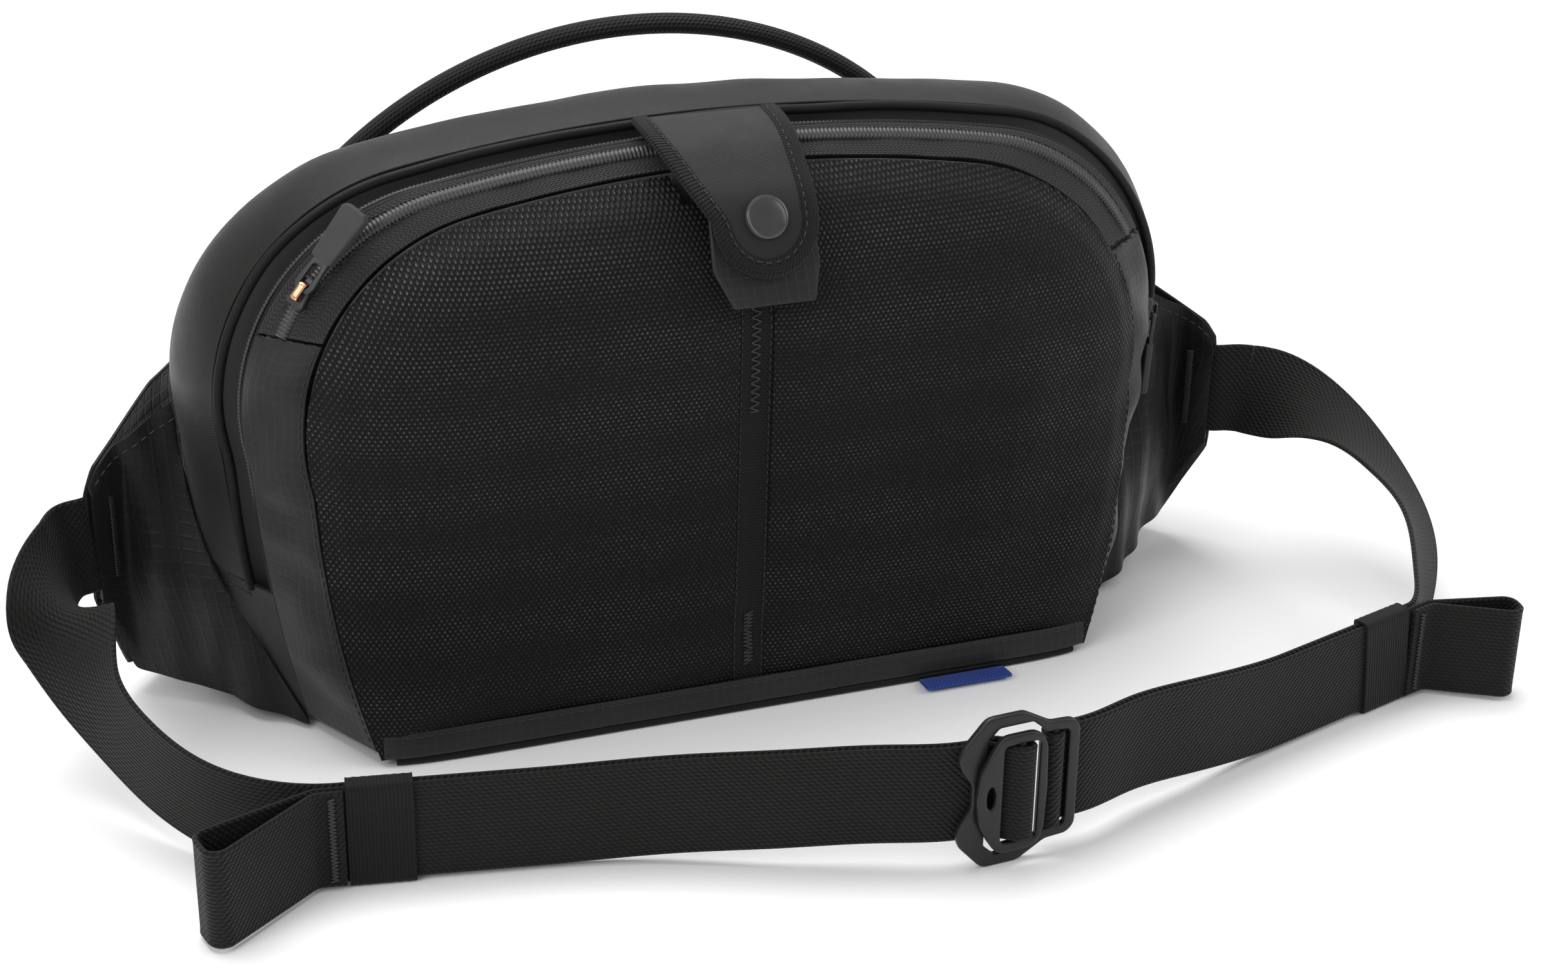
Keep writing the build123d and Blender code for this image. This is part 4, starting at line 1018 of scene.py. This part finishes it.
CAP_PROFILE = (
    (1.5, -2.0), (1.5, 0.2), (6.3, 0.2), (6.7, 0.5), (6.75, 1.2), (6.5, 1.75), (6.0, 2.0), (5.75, 1.95),
    (5.6, 1.85), (5.3, 1.95), (4.0, 2.25), (2.2, 2.42), (0.4, 2.48),
)
lathe("snap_cap", CAP_PROFILE, snap_plane, snap_look, "flap", ["snap_cap"])


def repaint(node, look):
    """Gives a CAD node that keeps its own mesh one of the materials here."""
    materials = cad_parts[node].data.materials
    materials.clear()
    materials.append(look)


for node in ("snap_socket", "snap_stud"):
    repaint(node, zinc_look)

tab_u = np.linspace(0, 1, 16)[:, None]
tab_v = np.linspace(8, -26, 20)
left_x = np.interp(-tab_v, (-8, 14, 26), (-16, -17, -12))
right_x = np.interp(-tab_v, (-8, 14, 26), (16, 17, 14))
tab_x = left_x[None] * (1 - tab_u) + right_x[None] * tab_u
snap_x, snap_z = np.array([1.0, 0, 0]), np.array(SNAP_OUT)
snap_y = np.cross(snap_z, snap_x)
tab_rows = (
    np.array(SNAP_AT) + tab_x[..., None] * snap_x + (tab_v[None, :, None] + 0 * tab_x[..., None]) * snap_y
    - snap_z * 4.3
)
skin("under_tab", tab_rows, 1.5, hem_look, "bag", ["under_tab"])

# ---- grab handle --------------------------------------------------------------------------------
HANDLE_R, HANDLE_SPAN, HANDLE_LEAN = 134.0, 99.0, radians(11.0)
drop = (HANDLE_R**2 - HANDLE_SPAN**2) ** 0.5
bow = arc((-HANDLE_SPAN, 0), (0, HANDLE_R - drop), (HANDLE_SPAN, 0), 160)
right_leg = np.array([(HANDLE_SPAN + 4.4, -8), (HANDLE_SPAN + 9, -16)])
left_leg = (right_leg * (-1, 1))[::-1]
bow = soften(resample(np.concatenate([left_leg, bow, right_leg]), 190), 6)
handle_up = np.array([0.0, -sin(HANDLE_LEAN), cos(HANDLE_LEAN)])
handle_path = np.array([-8.0, 53.5, 159.0]) + bow[:, :1] * (1, 0, 0) + bow[:, 1:] * handle_up
low = handle_path[:, 2] < 160
handle_path[low, 1] += np.minimum((160 - handle_path[low, 2]) * 0.22, 3.0)
across = np.tile(np.cross(handle_up, [1.0, 0, 0]), (len(handle_path), 1))
flatten = np.interp(handle_path[:, 2], (144, 160), (0.8, 1.0))
handle_rows = sweep(handle_path, across, ellipse(4.0, 3.2, 20), flatten)
handle = tube("handle", handle_rows, handle_look, None, ["handle", "handle_anchors"])
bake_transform(handle, "bag", "handle", start=(-0.008, 0.0535, 0.154), end=(-0.008, 0.0545, 0.166))

# ---- hip wings ----------------------------------------------------------------------------------
WING_LOW = ((0, 30, 47, 57, 61), (2.5, 5, 10, 30, 37))
WING_HIGH = ((0, 24, 57, 61), (106, 101, 85, 80))
WING_DIR = unit([42.5, -45.5])
WING_FOLD, FOLD_LOW, FOLD_HIGH = 46.6, 10.5, 90.0
SIDE_SEAM = ((147.0, -20.0, 1.8), (153.0, -8.0, 28.0), (167.5, 12.0, 62.0), (170.0, 24.0, 100.0))
WING_T, WING_FACE, TACK_AT = 1.2, 2.2, 53.0
SEAM_GAP = 1.0


def side_at(y, z):
    """How far the bag's side lies from its middle plane, at a depth and a height."""
    if y > SHELL_EDGE[0]:
        section = shell_section((BACK[0] - y) / (BACK[0] - SHELL_EDGE[0]))
    else:
        share = (SHELL_EDGE[0] - y) / (SHELL_EDGE[0] - POCKET_EDGE[0])
        section = between(SHELL_EDGE, POCKET_EDGE, min(share, 1.0))
    line = rim_flat(section)
    right = line[line[:, 0] > 0][::-1]
    right = right[: right[:, 0].argmax() + 60]
    return np.interp(z, right[:, 1], right[:, 0])


def wing_face(count):
    """The distance of a wing's face from its middle plane, pinched at the upper and lower edge."""
    return 0.8 + (WING_FACE - 0.8) * np.minimum(1, np.sin(np.linspace(0, pi, count)) * 4)[None, :, None]


def wing_rows(root, along, stations, count):
    """A grid of points on the middle plane of a wing, between its lower and upper edge."""
    low, high = np.interp(stations, *WING_LOW), np.interp(stations, *WING_HIGH)
    z = low[:, None] + (high - low)[:, None] * np.linspace(0, 1, count)[None]
    return root + stations[:, None, None] * along + z[..., None] * np.array([0, 0, 1.0])


for side, name in ((-1, "left"), (1, "right")):
    root = np.array([side * 154.5, 56.5, 0.0])
    along = np.array([side * WING_DIR[0], WING_DIR[1], 0.0])
    front = np.array([side * WING_DIR[1], -WING_DIR[0], 0.0])
    seam_points = np.array(SIDE_SEAM) * (side, 1, 1)
    seam = spline(seam_points, seam_points[1] - seam_points[0], seam_points[3] - seam_points[2], 64)
    seam[:, 0] = [side * (side_at(y, z) + SEAM_GAP) for _, y, z in seam]
    fold_z = np.linspace(FOLD_LOW, FOLD_HIGH, 64)[:, None]
    fold_line = root + along * WING_FOLD + front * WING_FACE + fold_z * np.array([0, 0, 1.0])
    share = np.linspace(1, 0, 52)[:-1, None, None]
    flat_part = wing_rows(root, along, np.linspace(WING_FOLD, 61, 16), 64) + front * wing_face(64)
    rows = np.concatenate([fold_line * (1 - share) + seam * share, flat_part])
    rows = soften(rows, 14)
    behind = np.array([side * 230.0, 70.0, 60.0])
    out = facing(rows, behind)
    reach = np.linspace(0, 1, len(rows))[:, None]
    loose = np.sin(reach**0.8 * pi) ** 0.7
    creases = ripple(rows * (1, 1, 0.22), 13.0, 20 + side) * 3.0 + ripple(rows, 27.0, 22 + side) * 2.0
    rows = rows + out * ((creases + 0.8) * loose)[..., None]
    _, out = skin(
        f"wing_{name}_front", rows, WING_T, wing_look, "bag", [f"wing_{name}_front"], behind
    )
    rear = wing_rows(root, along, np.linspace(0, 61, 40), 48) - front * wing_face(48)
    rear = rear + front * (ripple(rear, 24.0, 30 + side) * 0.7)[..., None]
    skin(f"wing_{name}_rear", rear, WING_T, wing_look, "bag", [f"wing_{name}_rear"])
    tack = []
    for k, high in enumerate(np.linspace(46, 74, 60)):
        at = TACK_AT + (1.3 if k % 2 else -1.3)
        tack.append(root + along * at + [0, 0, high] + front * (WING_FACE + 0.5))
    thread(f"wing_bartack_{name}", np.array(tack), np.tile(front, (len(tack), 1)), 0.42)
    stitches(f"wing_stitches_{name}", [(rows[3:-3, -4], out[3:-3, -4])])
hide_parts("wing_bartacks")

# ---- belt webbing -------------------------------------------------------------------------------
WEB_WIDE, WEB_T, OFFSET = 32.0, 1.4, 1.15
BUCKLE_AT = np.array([25.5, -162.5, 25.5])
TURN = radians(3.8)
BUCKLE_X = np.array([cos(TURN), sin(TURN), 0.0])
BUCKLE_Z = np.array([sin(TURN), -cos(TURN), 0.0])
LOW = np.array([0, 0, -1.0])
PAIR_DEPTH = -4.65
RUN, RUN_Z = 57.0, 17.5


def pair_end(distance, angle):
    """Where a belt layer pair meets the buckle, with its heading."""
    spot = BUCKLE_AT + BUCKLE_X * distance + BUCKLE_Z * PAIR_DEPTH
    return (spot[0], spot[1], 9.5, angle)


def layer_line(stations, offset, count=60):
    """One layer of the doubled belt, beside the line through its stations."""
    points = [np.array([x, y, z + 16]) + heading(a + 90) * offset for x, y, z, a in stations]
    return spline(points, heading(stations[0][3]), heading(stations[-1][3]), count)


BELTS = {
    "left": dict(
        start=(-146.0, -109.5), angle=-9.85, front=-1, reach=1.0, end=(8.0, 3.8),
        curve=((-50.0, -129.6, 4.0, -18.5), (-21.2, -141.2, 6.9, -20.5), (6.0, -150.6, 8.8, -17.0)),
        wrap=(
            (8.0, -5.8), (13.5, -5.8), (23.2, 0.46), (23.2, 3.85), (18.81, 3.85), (11.0, -3.5), (8.0, -3.5),
        ),
        strap=(
            ((-200, 11, 60), (0, 0, 1)), ((-209, 0, 59), (-0.3, 0.1, 1)),
            ((-212, -16, 56), (-0.6, 0.4, 0.6)),
            ((-209, -30, 49), (-0.8, 0.5, -0.2)), ((-204, -44, 36), (-0.4, 0.5, -0.75)),
            ((-194, -65, 25), (-0.2, 0.4, -0.9)), ((-176, -90, 18.5), (0, 0.1, -1)),
        ),
        ahead=((-1, 0, 0), (-0.25, -1, -0.05), (-0.05, -1, -0.3), (0.2, -0.75, -0.7), (0.3, -0.8, -0.5),
               (0.45, -0.85, -0.3), (0.7, -0.7, -0.1)),
    ),
    "right": dict(
        start=(207.0, -110.7), angle=197.1, front=1, reach=0.78, end=(41.0, 183.8),
        curve=((134.0, -133.6, 3.0, 198.5), (111.0, -141.0, 6.4, 197.0), (88.0, -147.8, 8.7, 196.0)),
        wrap=((41.0, -5.8), (29.75, -5.8), (29.75, 1.05), (33.5, 1.05), (35.2, -3.5), (41.0, -3.5)),
        strap=(
            ((200, 11, 60), (0, 0, 1)), ((214, 8, 58), (0.2, 0.3, 0.95)), ((228, -1, 54), (0.45, 0.7, 0.5)),
            ((239, -18, 47), (0.8, 0.6, -0.1)), ((242, -45, 37), (0.75, 0.1, -0.6)),
            ((234, -72, 30), (0.45, 0.0, -0.85)), ((221, -95, 22), (0.2, 0.05, -1)),
        ),
        ahead=((1, 0, 0), (1, -0.3, -0.2), (0.75, -0.75, -0.35), (0.4, -0.85, -0.4), (-0.1, -0.95, -0.3),
               (-0.45, -0.85, -0.2), (-0.6, -0.75, -0.2)),
    ),
}


def keeper(name, start, go, rear):
    """An elastic band round the doubled run of the belt."""
    loop = rounded([(-3.05, -17.2), (3.05, -17.2), (3.05, 17.2), (-3.05, 17.2)], 1.3, closed=True)
    hole = rounded([(-2.1, -16.3), (2.1, -16.3), (2.1, 16.3), (-2.1, 16.3)], 0.7, closed=True)
    count = 72
    closed_loop = resample(np.concatenate([loop, loop[:1]]), count + 1)[:-1]
    closed_hole = resample(np.concatenate([hole, hole[:1]]), count + 1)[:-1]
    lean_top = 0.0 if name == "left" else 0.10
    rings = []
    outer_at = np.linspace(2.3, 21.7, 16)
    inner_at = outer_at[::-1]
    for at in outer_at:
        ripple_by = 0.12 * cos(at * 2 * pi / 2.4)
        rings.append((closed_loop * (1 + ripple_by / 6, 1 + ripple_by / 34), at))
    for at in inner_at:
        rings.append((closed_hole, at))
    rings_3d = []
    for flat_loop, at in rings:
        spot = start + go * at
        rings_3d.append(
            spot - rear * flat_loop[:, :1] + np.array([0, 0, 1.0]) * flat_loop[:, 1:]
            + go * (lean_top * flat_loop[:, 1:])
        )
    rings_3d = np.array(rings_3d)
    n = len(rings_3d)
    faces = []
    for i in range(n):
        for j in range(count):
            a, b = i * count + j, i * count + (j + 1) % count
            c, d = (i + 1) % n * count + (j + 1) % count, (i + 1) % n * count + j
            faces.append([a, b, c, d])
    along_at = np.array([at for _, at in rings])
    cloth = np.zeros((n, count, 3))
    cloth[..., 0] = along_at[:, None]
    cloth[..., 1] = np.linspace(0, 76, count)[None]
    cloth[..., 2] = np.minimum(along_at - 2, 22 - along_at)[:, None]
    make(
        f"keeper_{name}", rings_3d.reshape(-1, 3), faces, cloth.reshape(-1, 3), elastic_look,
        f"keeper_{name}", [f"keeper_{name}"], 60,
    )


for name, belt in BELTS.items():
    side = -1 if name == "left" else 1
    go = heading(belt["angle"])
    rear = heading(belt["angle"] + 90) * -belt["front"]
    start = np.array([*belt["start"], RUN_Z])
    join = start + rear * OFFSET
    edges = []
    for half in (-1, 1):
        points = []
        for (place, width), ahead in zip(belt["strap"], belt["ahead"]):
            e = unit(ahead)
            w = np.array(width, float)
            points.append(np.array(place, float) + unit(w - e * (w @ e)) * half * 16)
        points.append(join + LOW * half * 16)
        edges.append(spline(points, belt["ahead"][0], go, 170))
    strap_path = (edges[0] + edges[1]) / 2
    strap_width = unit(edges[1] - edges[0])
    root = np.array([side * 154.5, 56.5, 60.0])
    wing_end = root + np.array([side * WING_DIR[0], WING_DIR[1], 0]) * 42
    tip = np.array([side * 197.0, 11.0, 60.0])
    cut_at = int(np.argmax(np.abs(strap_path[:, 0]) > 207.5))
    stub = np.linspace(wing_end, tip, 14)[:-1]
    root_path = soften(resample(np.concatenate([stub, strap_path[: cut_at + 1]]), step=1.0), 4)
    stub_width = np.concatenate([np.tile([0, 0, 1.0], (len(stub), 1)), strap_width[: cut_at + 1]])
    root_width = resample(stub_width, len(root_path))
    end_piece = webbing(
        f"webbing_{name}_root", root_path, root_width, WEB_WIDE, WEB_T, webbing_look, None,
        [f"webbing_{name}_end"],
    )
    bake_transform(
        end_piece, "bag", "belt", start=(side * 0.1985, 0.011, 0.060), end=(side * 0.2065, 0.011, 0.060)
    )

    run_end = start + go * RUN
    stations = [(run_end[0], run_end[1], 1.5, belt["angle"]), *belt["curve"], pair_end(*belt["end"])]
    back_sign = -belt["front"]
    far = layer_line(stations, OFFSET * back_sign)
    near = layer_line(stations, -OFFSET * back_sign)[::-1]
    turn_line = rounded(belt["wrap"], 2.2)
    wrap = BUCKLE_AT + turn_line[:, :1] * BUCKLE_X + turn_line[:, 1:] * BUCKLE_Z
    reach = belt["reach"]
    loop = [
        (57, 1.15), (-7, 1.15), (-41 * reach, 19.5 * reach), (-35.5 * reach, 33 * reach),
        (-7, 3.4), (1.5, 3.3),
    ]
    tail = rounded(loop, 4.0)
    tail_path = start + tail[:, :1] * go - tail[:, 1:] * rear
    lead = np.linspace(join, run_end + rear * OFFSET, 24)
    rest = np.concatenate([strap_path[cut_at:], lead[1:-1], far[1:-1], wrap, near[1:-1], tail_path])
    width = np.tile(LOW, (len(rest), 1))
    width[: len(strap_path) - cut_at] = strap_width[cut_at:]
    both = resample(np.concatenate([rest, width * 3], 1), step=0.9)
    path, across_dir = both[:, :3], unit(both[:, 3:])
    webbing(
        f"webbing_{name}", path, across_dir, WEB_WIDE, WEB_T, webbing_look, "belt",
        [f"webbing_{name}"],
    )
    sewn = start + go * -2.0 - rear * (OFFSET + 3.1)
    rise = enumerate(np.linspace(-14, 14, 46))
    tack = np.array([sewn + go * (1.1 if k % 2 else -1.1) + [0, 0, h] for k, h in rise])
    thread(f"tail_bartack_{name}", tack, np.tile(-rear, (len(tack), 1)), 0.35, "belt")
    keeper(name, start, go, rear)

# ---- buckle -------------------------------------------------------------------------------------
def at_depth(depth):
    """The plane of the buckle at a depth from its middle."""
    return plane_matrix(BUCKLE_AT + BUCKLE_Z * depth, BUCKLE_X, BUCKLE_Z)


OUTER = mirrored([
    (4.8, 4), (1.5, 9), (0, 13), (1.5, 17), (9, 25.5), (21, 25.5), (30, 20.2), (37.5, 19.8), (40, 17),
])
OUTER_HOLE = mirrored([(9.5, 18), (13, 21.5), (24, 21.5), (28.6, 17.4), (29.4, 16.6), (36.4, 16.6)])
INNER = mirrored([
    (5.0, 0), (6.2, 9), (9.0, 14.5), (12.5, 20), (23.5, 20), (26.6, 17.8), (27.9, 14), (28.4, 0),
])
INNER_HOLE = mirrored([(13.5, 16.6), (25.3, 16.6)])
oval = ellipse(1.4, 3.8, 28) + (9.8, 0)
outer_loops = [rounded(OUTER, 4.5, True), rounded(OUTER_HOLE, 1.6, True)]
inner_loops = [rounded(INNER, 5.0, True), rounded(INNER_HOLE, 1.4, True), oval]
for name, loops, depth, body in (
    ("buckle_outer", outer_loops, -1.2, "belt"), ("buckle_inner", inner_loops, 1.6, "buckle_hook"),
):
    plate(name, loops, at_depth(depth), 1.2, 0.75, buckle_look, body, [name])
for name, s, depth, body in (("outer_bar", 32.0, -1.2, "belt"), ("inner_bar", 19.7, 1.6, "buckle_hook")):
    spot = BUCKLE_AT + BUCKLE_X * s + BUCKLE_Z * depth
    path = spot + np.linspace(-17.2, 17.2, 12)[:, None] * np.array([0, 0, 1.0])
    rows = sweep(path, np.tile(BUCKLE_X, (12, 1)), ellipse(1.15, 1.15, 18))
    tube(name, rows, buckle_look, body)

# ---- zip sliders and pulls ----------------------------------------------------------------------
SLIDERS = {
    "front": dict(at=(-131.005, -24.25, 151.0), x=(0.6206, 0, 0.7841), z=(-0.5484, -0.7147, 0.4340), way=1,
                  low=0.8, top=3.0, long=10.0, wide=7.2, bail=2.2, frame=6.8, grip=9.0, thick=4.0,
                  look=copper_look),
    "main": dict(at=(155.005, -13.4, 105.0), x=(0.0605, 0, 0.998), z=(0.998, 0, -0.0605), way=-1,
                 low=-2.4, top=0.5, long=10.0, wide=3.9, bail=1.6, frame=4.2, grip=4.7, thick=2.6,
                 look=zinc_look),
}


def both_ways(half):
    """A closed outline from its upper half, with the lower half first."""
    return [(x, -y) for x, y in half] + list(half)[::-1]


for name, s in SLIDERS.items():
    x_dir, z_dir = unit(s["x"]), unit(s["z"])
    y_dir = np.cross(z_dir, x_dir)
    at = np.array(s["at"])
    way = s["way"]

    def level(height):
        return plane_matrix(at + z_dir * height, x_dir, z_dir)

    half, wide = s["long"] / 2, s["wide"] / 2
    body_line = both_ways([(-half, 0.62 * wide), (0.1 * half, 0.72 * wide), (half, wide)])
    body_line = [(x * -way, y) for x, y in body_line]
    tall = (s["top"] - s["low"]) / 2
    plate(
        f"{name}_slider", [rounded(body_line, 1.4, True)], level(s["low"] + tall), tall, 0.5, zinc_look,
        f"{name}_slider", [f"{name}_slider"],
    )
    foot = s["top"] - 0.3
    hoop = rounded([(-3.0, foot), (-2.6, foot + 2.6), (2.6, foot + 2.6), (3.0, foot)], 1.0)
    hoop = resample(hoop, 40)
    path = at + hoop[:, :1] * x_dir + hoop[:, 1:] * z_dir
    section = band_section(s["bail"], 0.85, 0, 7)
    rows = sweep(path, np.tile(y_dir, (40, 1)), section)
    tube(f"{name}_bail", rows, s["look"], f"{name}_slider", [f"{name}_slider_bail"])
    pivot_high = s["top"] + 1.05
    fw, gw = s["frame"] / 2, s["grip"] / 2
    window = (s["bail"] + 0.9) / 2
    frame_loop = both_ways([(0.4, 0.8 * fw), (3.2, fw), (9.0, 0.86 * fw), (13.6, 0.8 * fw)])
    window_loop = both_ways([(1.85, window), (9.8, window)])
    grip_loop = both_ways([(11.4, 0.78 * gw), (28.6, gw), (30, 0.72 * gw)])
    loops = [rounded([(x * way, y) for x, y in line], 1.2, True) for line in (frame_loop, window_loop)]
    plate(
        f"{name}_pull_frame", loops, level(pivot_high), 0.7, 0.35, zinc_look, f"{name}_pull",
        [f"{name}_pull_frame"],
    )
    grip_line = rounded([(x * way, y) for x, y in grip_loop], 0.8, True)
    plate(
        f"{name}_pull_grip", [grip_line], level(pivot_high), s["thick"] / 2, 0.6, grip_look, f"{name}_pull",
        [f"{name}_pull_grip"],
    )

# ---- the back: panel, foam and padded mesh ------------------------------------------------------
panel_rows = lift(back_out, d_patch(BACK, -0.5, -999, 999, 60, 34))
skin("back_panel", panel_rows, 1.2, shell_look, "bag", ["back_panel"])
for node, look in (
    ("back_foam", foam_look), ("divider_wall", lining_look), ("organiser_pocket", lining_look),
    ("key_leash", lining_look), ("key_hook", snap_look),
):
    repaint(node, look)

pad_front = lift((BACK[0] + 3.0, *BACK[1:]), d_patch(BACK, -7.0, -999, 999, 74, 42))
pad_rear = pad_front + np.array([0, 5.0, 0])
n, m = pad_front.shape[:2]
pad_points = np.concatenate([pad_front.reshape(-1, 3), pad_rear.reshape(-1, 3)])
at = np.arange(n * m).reshape(n, m)
pad_faces = []
for i in range(n - 1):
    for j in range(m - 1):
        quad = [int(at[i, j]), int(at[i + 1, j]), int(at[i + 1, j + 1]), int(at[i, j + 1])]
        pad_faces += [quad, [q + n * m for q in quad[::-1]]]
ring = list(at[:, 0]) + list(at[-1, 1:]) + list(at[-2::-1, -1]) + list(at[0, -2:0:-1])
for a, b in zip(ring, ring[1:] + ring[:1]):
    pad_faces.append([int(b), int(a), int(a) + n * m, int(b) + n * m])
pad = make(
    "back_pad", pad_points, pad_faces, np.zeros((2 * n * m, 3)), spacer_look, None,
    ["back_mesh"],
)


def puff(piece, voxel, pressure, cap, frames=20):
    """Swells a padded piece with cloth simulation and returns the swollen points; the piece keeps its
    remeshed mesh.
    """
    remesh = piece.modifiers.new("remesh", "REMESH")
    remesh.mode = "VOXEL"
    remesh.voxel_size = voxel * MM
    bpy.context.view_layer.update()
    graph = bpy.context.evaluated_depsgraph_get()
    mesh = bpy.data.meshes.new_from_object(piece.evaluated_get(graph))
    piece.modifiers.clear()
    piece.data = mesh
    before = np.array([v.co[:] for v in mesh.vertices])
    cloth = piece.modifiers.new("cloth", "CLOTH")
    cloth.settings.use_pressure = True
    cloth.settings.uniform_pressure_force = pressure
    cloth.settings.effector_weights.gravity = 0.0
    cloth.settings.tension_stiffness = 30
    cloth.settings.compression_stiffness = 30
    for f in range(1, frames + 1):
        bpy.context.scene.frame_set(f)
    graph = bpy.context.evaluated_depsgraph_get()
    after_mesh = piece.evaluated_get(graph).to_mesh()
    after = np.array([v.co[:] for v in after_mesh.vertices])
    piece.evaluated_get(graph).to_mesh_clear()
    piece.modifiers.clear()
    bpy.context.scene.frame_set(1)
    move = after - before
    far = np.linalg.norm(move, axis=1, keepdims=True)
    before = before + move * np.minimum(1, cap * MM / np.maximum(far, 1e-9))
    return before


pad_co = puff(pad, 4.0, 4.0, 4.0) / MM
rear_face = pad_co[:, 1] > (BACK[0] + 5.5 - 0.05 * pad_co[:, 2])
for groove_x in (-52.0, 52.0):
    dent = np.exp(-(((pad_co[:, 0] - groove_x) / 3.2) ** 2))
    pad_co[:, 1] -= dent * 3.2 * rear_face
wall_y = BACK[0] + 1.7 - 0.05 * pad_co[:, 2]
pad_co[:, 1] = np.maximum(pad_co[:, 1], wall_y)
pad.data.vertices.foreach_set("co", (pad_co * MM).ravel())
for name in [a.name for a in pad.data.attributes if a.name == "cloth"]:
    pad.data.attributes.remove(pad.data.attributes[name])
attribute = pad.data.attributes.new("cloth", "FLOAT_VECTOR", "POINT")
cloth = np.stack([pad_co[:, 0], pad_co[:, 2], np.full(len(pad_co), 9.0)], 1).astype(np.float32)
attribute.data.foreach_set("vector", cloth.ravel())
pad.data.polygons.foreach_set("use_smooth", [True] * len(pad.data.polygons))
pad.data.materials.clear()
pad.data.materials.append(spacer_look)
relax = pad.modifiers.new("relax", "SMOOTH")
relax.factor, relax.iterations = 0.5, 4
smooth = pad.modifiers.new("smooth", "SUBSURF")
smooth.levels = smooth.render_levels = 1
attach(pad, "bag")

hem = [(base_rows[k, 2:9] + (0, 0, -2.2), base_normals[k, 2:9]) for k in (1, -2)]
stitches("shell_stitches", hem)

# ---- floor, light, camera -----------------------------------------------------------------------
floor_mesh = bpy.data.meshes.new("floor")
floor_mesh.from_pydata([(-4, -4, 0), (4, -4, 0), (4, 4, 0), (-4, 4, 0)], [], [[0, 1, 2, 3]])
floor = bpy.data.objects.new("floor", floor_mesh)
bpy.context.scene.collection.objects.link(floor)
floor_look = Look("floor")
floor_mesh.materials.append(floor_look.done(grey(0.95), floor_look.grain(60.0), 0.0, 0.6))

world = bpy.data.worlds.new("studio")
world.use_nodes = True
world.node_tree.nodes["Background"].inputs["Color"].default_value = (1, 1, 1, 1)
world.node_tree.nodes["Background"].inputs["Strength"].default_value = 0.55
bpy.context.scene.world = world


def area_light(name, place, aim, size, power):
    light = bpy.data.lights.new(name, "AREA")
    light.shape = "RECTANGLE"
    light.size, light.size_y = size
    light.energy = power
    lamp = bpy.data.objects.new(name, light)
    bpy.context.scene.collection.objects.link(lamp)
    lamp.location = place
    lamp.rotation_euler = (Vector(aim) - Vector(place)).to_track_quat("-Z", "Y").to_euler()


area_light("top_softbox", (-0.15, 0.35, 1.25), (0, 0, 0.1), (1.3, 0.9), 16)
area_light("left_softbox", (-1.1, -0.7, 0.9), (0, -0.05, 0.08), (0.8, 0.8), 7)
area_light("right_softbox", (1.2, -0.5, 0.8), (0, -0.05, 0.08), (0.7, 0.9), 5)

AZIMUTH, ELEVATION, ROLL = radians(-20.44), radians(26.0), radians(1.07)
CAMERA_AIM, CAMERA_FAR = Vector((-0.001, -0.0836, 0.095)), 0.868
back = Vector((sin(AZIMUTH) * cos(ELEVATION), -cos(AZIMUTH) * cos(ELEVATION), sin(ELEVATION)))
level_x = Vector((cos(AZIMUTH), sin(AZIMUTH), 0))
level_y = back.cross(level_x)
right = level_x * cos(ROLL) + level_y * sin(ROLL)
upright = back.cross(right)
data = bpy.data.cameras.new("camera")
data.lens, data.sensor_width = 66.18, 36.0
data.clip_start = 0.05
camera = bpy.data.objects.new("camera", data)
turned = Matrix((right, upright, back)).transposed().to_4x4()
camera.matrix_world = Matrix.Translation(CAMERA_AIM + back * CAMERA_FAR) @ turned
bpy.context.scene.collection.objects.link(camera)
bpy.context.scene.camera = camera
bpy.context.scene.view_settings.view_transform = "Standard"
bpy.context.scene.view_settings.look = "None"
